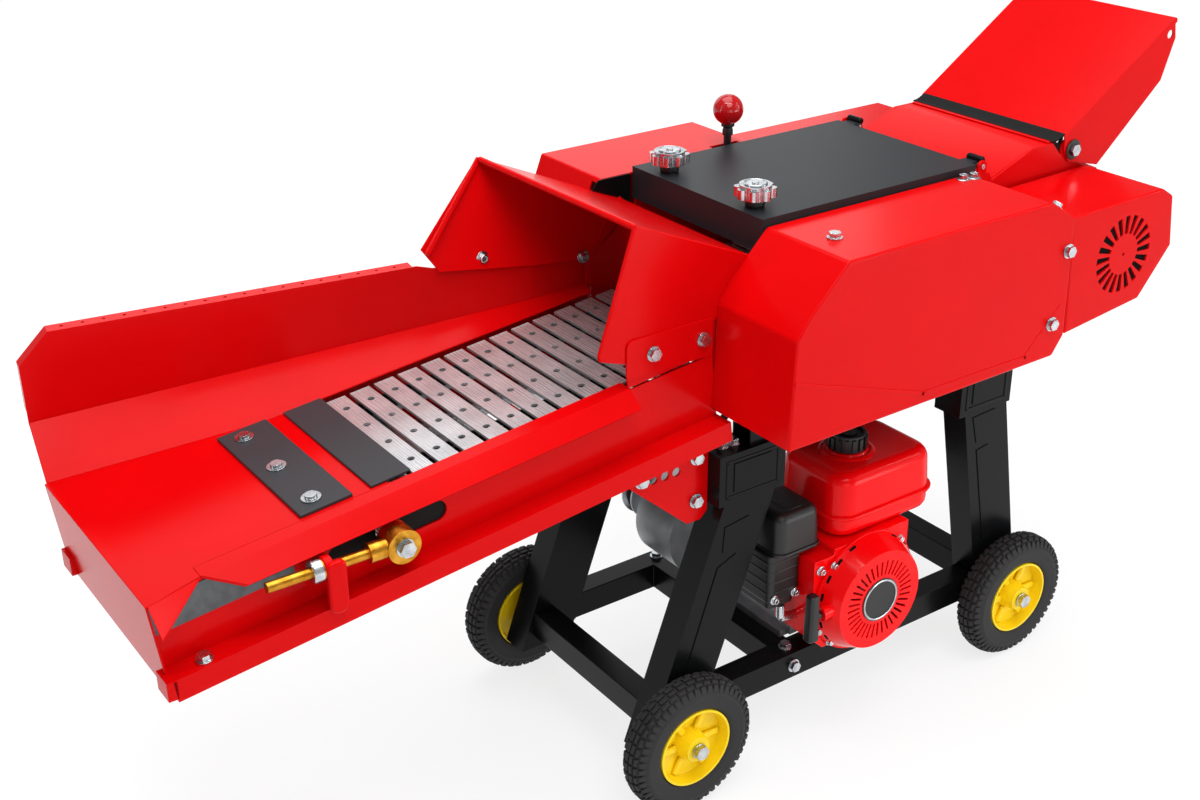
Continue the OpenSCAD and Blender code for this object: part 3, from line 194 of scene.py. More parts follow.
def rough_cast(name, first, last, roughness, metallic, grain=0.0016):
    """Die or sand casting: matt skin pitted at 1 to 2 mm."""
    made, tree, shader, place = start(name)
    pits = add(tree, "ShaderNodeTexVoronoi", {"Vector": place}, {"Scale": 1 / grain})
    cloud = add(tree, "ShaderNodeTexNoise", {"Vector": place}, {"Scale": 30.0, "Detail": 4.0})
    surface(tree, shader, (cloud, 0.3, 0.7, first, last), (cloud, roughness * 0.85, roughness * 1.15),
            (pits, 0.22, 0.0006), {"Metallic": metallic})
    return made


def moulded(name, first, last, roughness, grain=0.0012, depth=0.12, gloss=0.5):
    """Moulded plastic or rubber: fine spark-eroded grain, about 1 mm, over an even colour."""
    made, tree, shader, place = start(name)
    fine = add(tree, "ShaderNodeTexNoise", {"Vector": place}, {"Scale": 1 / grain, "Detail": 2.0})
    cloud = add(tree, "ShaderNodeTexNoise", {"Vector": place}, {"Scale": 14.0, "Detail": 3.0})
    surface(tree, shader, (cloud, 0.3, 0.7, first, last), (cloud, roughness * 0.88, roughness * 1.12),
            (fine, depth, 0.0005), {"IOR": 1.5, "Specular IOR Level": gloss})
    return made


FINISHES = {}


def finishes(paint):
    """Every finish of the machine, by a short name."""
    peel = paint.peel
    FINISHES.update({
        "red": powder_coat("red powder coat", paint.red, 0.2, peel, 0.08),
        "engine_red": powder_coat("red engine enamel", paint.engine_red, 0.16, peel * 2, 0.16),
        "black": powder_coat("black powder coat", paint.black, 0.26, peel * 0.8, 0.12),
        "lid": powder_coat("charcoal lid paint", paint.lid, 0.42, peel * 0.7, 0.16),
        "plate": powder_coat("phosphated plate", paint.plate, 0.46, peel * 0.6, 0.35),
        "yellow": powder_coat("yellow rim paint", paint.yellow, 0.3, peel, 0.3),
        "zinc": plated_steel("bright zinc plate", "#AEB3B8", "#D3D7DA", 0.24),
        "yellow_zinc": plated_steel("yellow zinc plate", "#B9781C", "#DDA23A", 0.3),
        "stainless": brushed_stainless("brushed stainless", "#C2C4C6", "#D6D8DA", 0.27, 0.6),
        "machined": brushed_stainless("turned steel", "#8F9295", "#B2B5B8", 0.32),
        "chain": plated_steel("oiled chain steel", "#1C1D1E", "#34363A", 0.34),
        # The web under the table's lip: its dark grey stands for the shade on that face and the floor's
        # reflection in it, painted shade and painted reflection.
        "grey_sheet": plated_steel("painted shade grey sheet", "#5E6163", "#676A6C", 0.55, 0.01),
        "alloy": rough_cast("die-cast alloy", "#A5A9AC", "#C2C5C8", 0.42, 1.0),
        "green": rough_cast("painted cast iron", "#27523A", "#2F6146", 0.45, 0.0),
        "muffler": rough_cast("heat-proof dark paint", "#232323", "#343434", 0.6, 0.0, 0.001),
        "tyre": moulded("tyre rubber", "#131314", "#1F1F20", 0.72, 0.0012, 0.2),
        "belt": moulded("belt rubber", "#0F0F0F", "#161616", 0.8, 0.001, 0.25, 0.2),
        "plastic": moulded("black moulding", "#0C0C0D", "#131415", 0.42),
        "knob_red": moulded("red phenolic", "#A80910", "#BC0C13", 0.14, 0.004, 0.02),
        # Flat black that stands for the dark inside of openings: painted shade.
        "painted_shade": moulded("painted shade black", "#060606", "#090909", 0.9, 0.0012, 0.12, 0.1),
        "rolled": brushed_stainless("cold-rolled sheet", "#7B7E81", "#84878A", 0.4),
    })


NODE_FINISH = {
    "legs": "black", "base_rails": "black", "bracket_plates": "red", "axle_pins": "zinc",
    "fasteners": "zinc", "conveyor_beams": "red", "feed_table": "red", "guide_board": "red",
    "cover_plates": "plate", "table_web": "grey_sheet", "chain_rails": "machined",
    "tension_brackets": "red", "tension_rods": "yellow_zinc", "upper_slats": "stainless",
    "upper_chain": "chain", "lower_run": "stainless", "head_slats": "stainless",
    "tail_slats": "stainless", "head_shaft": "machined", "tail_shaft": "zinc", "feed_hood": "red",
    "chamber_sides": "red", "chamber_floor": "rolled", "discharge_duct": "red", "bed_knife": "machined",
    "gear_cover": "red", "vent_cover": "red", "belt_cover": "red", "top_cover": "lid",
    "knob_left": "zinc", "knob_right": "zinc", "chute_flap": "red", "clutch_lever": "plastic",
    "feed_gearbox": "alloy", "input_pulley": "machined", "lower_feed_roller": "machined",
    "upper_feed_roller": "machined", "idler_gear": "machined", "rotor_shaft": "machined",
    "rotor_knives": "machined", "shaft_bearings": "green", "drive_belts": "belt", "crankcase": "alloy",
    "fan_shroud": "engine_red", "recoil_cover": "engine_red", "starter_handle": "plastic",
    "fuel_tank": "engine_red", "fuel_cap": "plastic", "air_filter": "plastic", "muffler": "muffler",
    "engine_pulley": "machined",
}


def finish_of(node):
    """The finish of a solid by its node's name; wheels go by their ending."""
    if node.endswith("_tyre"):
        return "tyre"
    if node.endswith("_rim"):
        return "yellow"
    return NODE_FINISH[node]


# Helpers for modelling by hand

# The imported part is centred, so it is shifted along X from the drawing; a front wheel tells how far, in mm
FRONT_AXLE = -281
SHIFT = (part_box("front_right_rim")[0].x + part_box("front_right_rim")[1].x) * 500 - FRONT_AXLE

# Places of the drawing that several pieces share, in mm
VENT = (477, -306, 731)
CRANK_X, CRANK_Z = 48, 258
CAP_X, CAP_Y = 76, -152
KNOB_X, KNOB_Y = -80, 98
SHROUD_FACE = -233.6
RECOIL_FACE = -271.5
COVER_FACE = -317
COVER_TOP = 853
TENSION_Y, TENSION_Z = 182, 579.2
BRACKET_X = -812
FLAP_PIVOT_X, FLAP_PIVOT_Z = 521, 850

# Which edges of the side covers are bends, in m: clear of the vents and the rim, or out at the face
VENT_REACH = 0.07
RIM_MARGIN = 0.004
FACE_MARGIN = 0.02
NEAR_FACE = 0.29

# The photograph's camera, from a fit of its points: yaw, pitch and roll in degrees, and its place in m
CAMERA_TURN = (34.889, 25.808, -0.494)
CAMERA_PLACE = (-1.32846, -1.70882, 1.58824)


def at(x, y, z):
    """A point of the drawing, in millimetres, as metres in the part's frame."""
    return Vector(((x + SHIFT) / 1000, y / 1000, z / 1000))


def mode(name):
    """Opens the active piece for editing, or closes it again."""
    bpy.ops.object.mode_set(mode=name)


def apply_place():
    """Takes the picked piece's place, turn and scale into its mesh."""
    bpy.ops.object.transform_apply(location=True, rotation=True, scale=True)


def pick_none():
    """Unpicks every piece."""
    bpy.ops.object.select_all(action="DESELECT")


def only(piece):
    """Selects one piece alone and makes it active."""
    if bpy.context.object and bpy.context.object.mode != "OBJECT":
        mode("OBJECT")
    pick_none()
    piece.select_set(True)
    bpy.context.view_layer.objects.active = piece
    return piece


def block(x0, x1, y0, y1, z0, z1):
    """A box between drawing coordinates."""
    low, high = at(x0, y0, z0), at(x1, y1, z1)
    pick_none()
    bpy.ops.mesh.primitive_cube_add(size=1, location=(low + high) / 2, scale=high - low)
    apply_place()
    return bpy.context.object


def turned(rings, sides=40, hollow=False):
    """A round piece along Z, at the world's origin: a disc extruded and resized ring by ring, in mm."""
    rings = [(r / 1000, z / 1000) for r, z in rings]
    last, height = rings[0]
    pick_none()
    bpy.ops.mesh.primitive_circle_add(vertices=sides, radius=last, fill_type="NGON",
                                      location=(0, 0, height))
    piece = bpy.context.object
    apply_place()
    mode("EDIT")
    bpy.ops.mesh.select_mode(type="FACE")
    bpy.ops.mesh.select_all(action="SELECT")
    for r, z in rings[1:]:
        bpy.ops.mesh.extrude_region_move(TRANSFORM_OT_translate={"value": (0, 0, z - height)})
        bpy.ops.transform.resize(value=(r / last, r / last, 1), center_override=(0, 0, z))
        last, height = r, z
    mode("OBJECT")
    if hollow:
        pick_faces(piece, lambda c, n: c.xy.length < 1e-5)
        mode("EDIT")
        bpy.ops.mesh.delete(type="ONLY_FACE")
        bpy.ops.mesh.select_mode(type="EDGE")
        bpy.ops.mesh.select_all(action="DESELECT")
        bpy.ops.mesh.select_non_manifold(extend=False, use_wire=False, use_multi_face=False,
                                         use_non_contiguous=False, use_verts=False)
        bpy.ops.mesh.bridge_edge_loops()
        mode("OBJECT")
    return outward(piece)


def outward(piece):
    """Turns every face of a closed piece outwards."""
    only(piece)
    mode("EDIT")
    bpy.ops.mesh.select_all(action="SELECT")
    bpy.ops.mesh.normals_make_consistent(inside=False)
    mode("OBJECT")
    return piece


def around(piece, count):
    """Repeats a piece round the Z axis."""
    only(piece)
    mode("EDIT")
    bpy.ops.mesh.select_all(action="SELECT")
    sweep = 2 * math.pi * (count - 1) / count
    bpy.ops.mesh.spin(steps=count - 1, dupli=True, angle=sweep, center=(0, 0, 0), axis=(0, 0, 1))
    mode("OBJECT")
    return piece


def plain_box(centre, size):
    """A box about a centre, in mm, at the world's origin."""
    pick_none()
    bpy.ops.mesh.primitive_cube_add(size=1, location=Vector(centre) / 1000, scale=Vector(size) / 1000)
    apply_place()
    return bpy.context.object


def rod(start, end, radius, sides=24):
    """A straight round bar between two points, its radius in mm, with its ends rounded over."""
    along = end - start
    pick_none()
    bpy.ops.mesh.primitive_cylinder_add(vertices=sides, radius=radius / 1000, depth=along.length,
                                        location=(start + end) / 2,
                                        rotation=along.to_track_quat("Z", "Y").to_euler())
    apply_place()
    return softened(bpy.context.object, radius * 0.4, 3, 60)


def bead(points, width, height, across):
    """A pressed bead along points of a flat face: round-edged bars that stand proud of it, in mm."""
    lap = min(width, 8) * 0.0008
    bars = []
    for start, end in zip(points, points[1:]):
        along = (end - start).normalized()
        beside = Vector(across).cross(along).normalized()
        turn = Matrix((along, beside, along.cross(beside))).transposed()
        pick_none()
        size = ((end - start).length + lap, width / 1000, height * 0.002)
        bpy.ops.mesh.primitive_cube_add(size=1, location=(start + end) / 2, rotation=turn.to_euler(),
                                        scale=size)
        apply_place()
        bars.append(softened(bpy.context.object, min(width * 0.4, height * 0.9), 3))
    return joined(bars)


def plate(corners, thickness, toward):
    """A flat plate with those corners, drawn out that way by so many mm."""
    pick_none()
    bpy.ops.mesh.primitive_circle_add(vertices=len(corners), radius=1, fill_type="NGON")
    piece = bpy.context.object
    for index, corner in enumerate(corners):
        mode("EDIT")
        bpy.ops.mesh.select_mode(type="VERT")
        bpy.ops.mesh.select_all(action="DESELECT")
        mode("OBJECT")
        spot = piece.data.vertices[index]
        spot.select = True
        step = corner - spot.co
        mode("EDIT")
        bpy.ops.transform.translate(value=step)
    bpy.ops.mesh.select_mode(type="FACE")
    bpy.ops.mesh.select_all(action="SELECT")
    bpy.ops.mesh.extrude_region_move(TRANSFORM_OT_translate={"value": Vector(toward) * (thickness / 1000)})
    mode("OBJECT")
    return outward(piece)


def rounded_block(x0, x1, y0, y1, z0, z1, upright, top=0.0, bottom=0.0, taper=1.0):
    """A box of the drawing, its upright, top and bottom edges rounded, in mm, and its top drawn in."""
    piece = block(x0, x1, y0, y1, z0, z1)
    if taper != 1.0:
        pick_faces(piece, lambda c, n: n.z > 0.9)
        mode("EDIT")
        middle = at((x0 + x1) / 2, (y0 + y1) / 2, z1)
        bpy.ops.transform.resize(value=(taper, taper, 1), center_override=middle)
        mode("OBJECT")
    for width, test in (
            (upright, lambda ends, faces: abs(ends[0].z - ends[1].z) > 1e-3),
            (top, lambda ends, faces: all(p.z > z1 / 1000 - 1e-5 for p in ends)),
            (bottom, lambda ends, faces: all(p.z < z0 / 1000 + 1e-5 for p in ends))):
        if width:
            pick_edges(piece, test)
            bevel_picked(width, 6)
    return evened(piece, 50)


def hex_bolt(radius, height, washer):
    """A hexagon bolt head with a dished top on its washer, along Z at the world's origin, in mm."""
    ring = turned([(washer, 0), (washer, 1.2), (washer - 0.6, 1.8), (radius + 0.8, 2),
                   (radius + 0.6, 2.6)], 32)
    pick_none()
    bpy.ops.mesh.primitive_cylinder_add(vertices=6, radius=radius / 1000, depth=height / 1000,
                                        location=(0, 0, (2 + height / 2) / 1000))
    apply_place()
    head = bpy.context.object
    pick_faces(head, lambda c, n: n.z > 0.9)
    mode("EDIT")
    bpy.ops.mesh.inset(thickness=radius * 0.00028, depth=radius * 0.0001)
    bpy.ops.mesh.inset(thickness=radius * 0.00012, depth=-radius * 0.00012)
    mode("OBJECT")
    return joined([evened(ring), softened(head, 0.5, 2, 25)])


def pick_faces(piece, test):
    """Selects the faces whose centre and normal pass the test."""
    only(piece)
    mode("EDIT")
    bpy.ops.mesh.select_mode(type="FACE")
    bpy.ops.mesh.select_all(action="DESELECT")
    mode("OBJECT")
    for face in piece.data.polygons:
        face.select = bool(test(face.center, face.normal))


def pick_edges(piece, test):
    """Selects the edges whose two ends and two face normals pass the test."""
    only(piece)
    mode("EDIT")
    bpy.ops.mesh.select_mode(type="EDGE")
    bpy.ops.mesh.select_all(action="DESELECT")
    mode("OBJECT")
    mesh = piece.data
    beside = {}
    for face in mesh.polygons:
        for key in face.edge_keys:
            beside.setdefault(key, []).append(face)
    for edge in mesh.edges:
        faces = beside.get(edge.key, [])
        ends = [mesh.vertices[i].co for i in edge.vertices]
        edge.select = len(faces) == 2 and bool(test(ends, faces))


def bevel_picked(width, segments):
    """Rounds the picked edges by so many mm."""
    mode("EDIT")
    bpy.ops.mesh.bevel(offset=width / 1000, segments=segments, affect="EDGES")
    mode("OBJECT")


def removed(piece):
    """Deletes a piece that only served to make others."""
    only(piece)
    bpy.ops.object.delete()


def aim(piece, place, toward):
    """Turns a piece made along Z at the origin to point that way from that place."""
    only(piece)
    piece.rotation_euler = Vector(toward).to_track_quat("Z", "Y").to_euler()
    piece.location = place
    apply_place()
    return piece


def copied(piece):
    """A copy with its own mesh."""
    only(piece)
    bpy.ops.object.duplicate(linked=False)
    return bpy.context.object


def joined(pieces):
    """Several pieces as one."""
    only(pieces[0])
    for other in pieces[1:]:
        other.select_set(True)
    if len(pieces) > 1:
        bpy.ops.object.join()
    return bpy.context.object


def softened(piece, width, segments=2, angle=35):
    """Rounds every edge sharper than the angle, in mm, and shades it smooth."""
    only(piece)
    edge = piece.modifiers.new("edge", "BEVEL")
    edge.width = width / 1000
    edge.segments = segments
    edge.limit_method = "ANGLE"
    edge.angle_limit = math.radians(angle)
    bpy.ops.object.modifier_apply(modifier="edge")
    return evened(cleaned(piece))


def cleaned(piece):
    """Removes the faces and edges of no size that rounding can leave."""
    only(piece)
    mode("EDIT")
    bpy.ops.mesh.select_all(action="SELECT")
    bpy.ops.mesh.dissolve_degenerate(threshold=1e-6)
    mode("OBJECT")
    return piece


def evened(piece, angle=38):
    """Shades a piece smooth up to an angle, with the flats kept flat beside their rounded edges."""
    only(piece)
    bpy.ops.object.shade_smooth_by_angle(angle=math.radians(angle))
    flats = piece.modifiers.new("flats", "WEIGHTED_NORMAL")
    flats.keep_sharp = True
    bpy.ops.object.modifier_apply(modifier="flats")
    return piece


def settled(piece, name, body, finish):
    """Names a finished piece, gives it a finish and rides it on a body, when one is given."""
    only(piece)
    apply_place()
    piece.name = name
    piece.data.name = name
    piece.data.materials.clear()
    piece.data.materials.append(FINISHES[finish])
    if body:
        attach(piece, body)
    return piece


def solid_copy(node):
    """A copy of a solid's mesh with its loose triangles merged back into flat faces."""
    NODES[node].hide_viewport = False
    piece = copied(NODES[node])
    piece.parent = None
    for key in [k for k in piece.keys() if k.startswith("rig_")]:
        del piece[key]
    mode("EDIT")
    bpy.ops.mesh.select_all(action="SELECT")
    bpy.ops.mesh.remove_doubles(threshold=1e-5)
    bpy.ops.mesh.dissolve_limited(angle_limit=math.radians(1.0))
    mode("OBJECT")
    return piece


def stands_for(piece, node):
    """A dressed copy takes a solid's place, with its body, finish and slot."""
    settled(piece, node + "_dressed", NODES[node]["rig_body"], finish_of(node))
    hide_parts(node)
    return piece


def outer_edge(ends, faces, middle, keep):
    """True on a convex edge whose faces both look away from the middle, where keep allows it."""
    one, two = faces
    between = (ends[0] + ends[1]) / 2
    if one.normal.dot(two.normal) > 0.97 or (one.center - between).dot(two.normal) > -1e-7:
        return False
    away = between - middle
    return one.normal.dot(away) > 0 and two.normal.dot(away) > 0 and keep(between, ends)


# Operators

class CUTTER_OT_finishes(bpy.types.Operator):
    """Gives every solid of the machine its finish"""
    bl_idname = "cutter.finishes"
    bl_label = "Finishes"

    def execute(self, context):
        finishes(context.scene.cutter_finish)
        for name, piece in NODES.items():
            piece.data.materials.clear()
            piece.data.materials.append(FINISHES[finish_of(name)])
        return {"FINISHED"}


class CUTTER_OT_pressings(bpy.types.Operator):
    """Rounds the bends of the three side covers and cuts the vent slots"""
    bl_idname = "cutter.pressings"
    bl_label = "Pressed covers"

    def execute(self, context):
        bend = context.scene.cutter_sizes.bend
        for node, inner in (("gear_cover", 0.156), ("vent_cover", 0.160), ("belt_cover", 0.156)):
            piece = solid_copy(node)
            low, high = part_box(node)
            middle = (low + high) / 2
            pick_edges(piece, lambda ends, faces: outer_edge(
                ends, faces, middle, lambda between, e: self.is_bend(between, e, inner)))
            mode("EDIT")
            bpy.ops.mesh.bevel(offset=bend * 1.6, segments=3, affect="EDGES", clamp_overlap=True)
            mode("OBJECT")
            if node == "vent_cover":
                self.slots(piece)
            stands_for(evened(cleaned(piece)), node)
        return {"FINISHED"}

    def is_bend(self, between, ends, inner):
        """True on an edge of the outer bends, away from the vents and from the rim at the chamber."""
        vents = at(*VENT)
        if math.hypot(between.x - vents.x, between.z - vents.z) <= VENT_REACH:
            return False
        if all(abs(p.y) > inner + RIM_MARGIN for p in ends):
            return True
        return max(abs(p.y) for p in ends) > NEAR_FACE and abs(between.y) > inner + FACE_MARGIN

    def slots(self, cover):
        """Cuts the fan of wedge slots through the cover's face and sets a black disc behind them: painted
        shade for the dark inside seen through the slots.
        """
        wedge = plain_box((46.5, 0, 0), (29, 6.4, 12))
        pick_faces(wedge, lambda c, n: n.x > 0.9)
        mode("EDIT")
        bpy.ops.transform.resize(value=(1, 1.6, 1), center_override=(0.061, 0, 0))
        mode("OBJECT")
        centre = at(*VENT)
        cutter = aim(around(softened(wedge, 1.4, 2), 20), centre, (0, -1, 0))
        hole = aim(turned([(2.6, -6), (2.6, 6)], 24), centre, (0, -1, 0))
        cutter = joined([cutter, outward(hole)])
        only(cover)
        cut = cover.modifiers.new("slots", "BOOLEAN")
        cut.operation = "DIFFERENCE"
        cut.solver = "EXACT"
        cut.object = cutter
        bpy.ops.object.modifier_apply(modifier=cut.name)
        removed(cutter)
        # A flat black disc behind the slots: painted shade for the dark inside of the cover.
        shade_disc = turned([(68, 0), (68, 1.6), (67, 2), (1, 2)], 64)
        shade_disc = evened(aim(shade_disc, centre + Vector((0, 0.005, 0)), (0, -1, 0)))
        settled(shade_disc, "vent_shade_disc", "frame", "painted_shade")


class CUTTER_OT_edges(bpy.types.Operator):
    """Breaks the sharp edges of the sheet, tube, strip and cast pieces"""
    bl_idname = "cutter.edges"
    bl_label = "Broken edges"

    def execute(self, context):
        for node, width, segments in (
                ("feed_hood", 1.4, 3), ("feed_table", 1.0, 2), ("guide_board", 1.0, 2),
                ("chamber_sides", 1.2, 2), ("discharge_duct", 1.2, 2), ("chute_flap", 1.4, 3),
                ("top_cover", 1.4, 3), ("legs", 1.9, 3), ("base_rails", 1.4, 3), ("conveyor_beams", 1.2, 2),
                ("bracket_plates", 1.2, 2), ("cover_plates", 1.2, 2), ("upper_slats", 1.7, 4),
                ("tail_slats", 0.6, 1), ("head_slats", 0.6, 1), ("crankcase", 2.5, 2), ("fan_shroud", 2.0, 2),
                ("muffler", 2.5, 2), ("tension_rods", 0.8, 2),
                ("feed_gearbox", 2.5, 2), ("shaft_bearings", 1.2, 2)):
            stands_for(softened(solid_copy(node), width, segments), node)
        return {"FINISHED"}


class CUTTER_OT_wheels(bpy.types.Operator):
    """Makes the block-tread tyres and the spoked rims"""
    bl_idname = "cutter.wheels"
    bl_label = "Wheels"

    def execute(self, context):
        tyre = self.tyre()
        spokes = around(softened(plain_box((39, 0, 29), (30, 11, 7)), 3, 3), 6)
        for name in ("front_right", "front_left", "rear_right", "rear_left"):
            low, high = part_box(name + "_tyre")
            side = 1 if low.y > 0 else -1
            place = Vector(((low.x + high.x) / 2, low.y if side > 0 else high.y, (low.z + high.z) / 2))
            stands_for(aim(copied(tyre), place, (0, side, 0)), name + "_tyre")
            spider = aim(copied(spokes), place, (0, side, 0))
            stands_for(joined([softened(solid_copy(name + "_rim"), 0.9, 2), spider]), name + "_rim")
        removed(tyre)
        removed(spokes)
        return {"FINISHED"}

    def tyre(self):
        """A tyre along Z: its carcass, two rows of middle blocks and two rows of lugs on each shoulder."""
        section = [(63.1, 8), (65, 4.6), (69, 2.4), (76, 1.4), (84, 1.2), (86, 0.6), (88, 0.6), (90, 1.6),
                   (96, 4.4), (101, 9), (104.4, 14), (105.8, 20), (105.8, 30), (104.4, 36), (101, 41),
                   (96, 45.6), (90, 48.4), (88, 49.4), (86, 49.4), (84, 48.8), (76, 48.6), (69, 47.6),
                   (65, 45.4), (63.1, 42)]
        rows = [evened(turned(section, 72, True), 60)]
        for z, length, count in ((20.6, 13.6, 40), (29.4, 13.6, 40)):
            rows.append(around(softened(plain_box((105.4, 0, z), (7.6, length, 6.6)), 0.9, 1), count))
        for z, lean in ((12, 1), (38, -1)):
            rows.append(around(softened(self.lug((103.6, z), (7.4, 12.2, 6.4), lean), 0.9, 1), 42))
        for z, lean in ((4.9, 1), (45.1, -1)):
            rows.append(around(softened(self.lug((97.6, z), (11, 8.6, 6.2), lean * 2.6), 0.9, 1), 52))
        return joined(rows)

    def lug(self, place, size, lean):
        """A tread block on the tyre's round shoulder, its outer face shifted along the axle by the lean."""
        tread = plain_box((place[0], 0, place[1]), size)
        face = ((place[0] + size[0] / 2) / 1000, 0, (place[1] + lean) / 1000)
        pick_faces(tread, lambda c, n: n.x > 0.9)
        mode("EDIT")
        bpy.ops.transform.translate(value=(0, 0, 0.001 * lean))
        bpy.ops.transform.resize(value=(1, 0.9, 0.86), center_override=face)
        mode("OBJECT")
        return tread


class CUTTER_OT_knobs(bpy.types.Operator):
    """Rounds the two star knobs, dishes their tops and seats each on a black ring"""
    bl_idname = "cutter.knobs"
    bl_label = "Star knobs"

    def execute(self, context):
        for side, y in (("left", KNOB_Y), ("right", -KNOB_Y)):
            knob = softened(solid_copy("knob_" + side), 1.6, 3)
            top = turned([(17, 0), (17, 1.6), (15.4, 2.2), (14, 1.4), (5.2, 1.0), (4.8, 2.6), (4.2, 3)], 40)
            stands_for(joined([knob, evened(aim(top, at(KNOB_X, y, 896), (0, 0, 1)))]), "knob_" + side)
            ring = turned([(13.5, 0), (14.2, 0.8), (14.2, 8), (13.2, 9.4), (11.2, 9.8)], 40)
            ring = evened(aim(ring, at(KNOB_X, y, 865), (0, 0, 1)))
            settled(ring, "knob_ring_" + side, NODES["knob_" + side]["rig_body"], "plastic")
        return {"FINISHED"}


class CUTTER_OT_lever(bpy.types.Operator):
    """Makes the clutch lever: black stem with a collar, and its red ball"""
    bl_idname = "cutter.lever"
    bl_label = "Clutch lever"

    def execute(self, context):
        low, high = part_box("clutch_lever")
        middle = Vector(((low.x + high.x) / 2, (low.y + high.y) / 2, high.z - 0.024))
        stem = solid_copy("clutch_lever")
        pick_faces(stem, lambda c, n: c.z > middle.z - 0.0245)
        mode("EDIT")
        bpy.ops.mesh.delete(type="FACE")
        bpy.ops.mesh.select_all(action="SELECT")
        bpy.ops.mesh.fill_holes(sides=0)
        mode("OBJECT")
        collar = turned([(7, 0), (8.4, 1), (8.4, 9), (7.4, 10.5), (7.4, 13), (10.5, 15), (10.5, 22),
                         (9, 24)], 32)
        neck = turned([(6, 0), (6, 80)], 32)
        pieces = [evened(stem), evened(aim(collar, middle - Vector((0, 0, 0.041)), (0, 0, 1))),
                  evened(aim(neck, middle - Vector((0, 0, 0.1)), (0, 0, 1)))]
        stands_for(joined(pieces), "clutch_lever")
        rings = [(24 * math.sin(math.pi * k / 24), -24 * math.cos(math.pi * k / 24)) for k in range(1, 24)]
        ball = aim(turned(rings, 48), middle, (0, 0, 1))
        settled(evened(ball, 60), "lever_ball", NODES["clutch_lever"]["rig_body"], "knob_red")
        return {"FINISHED"}


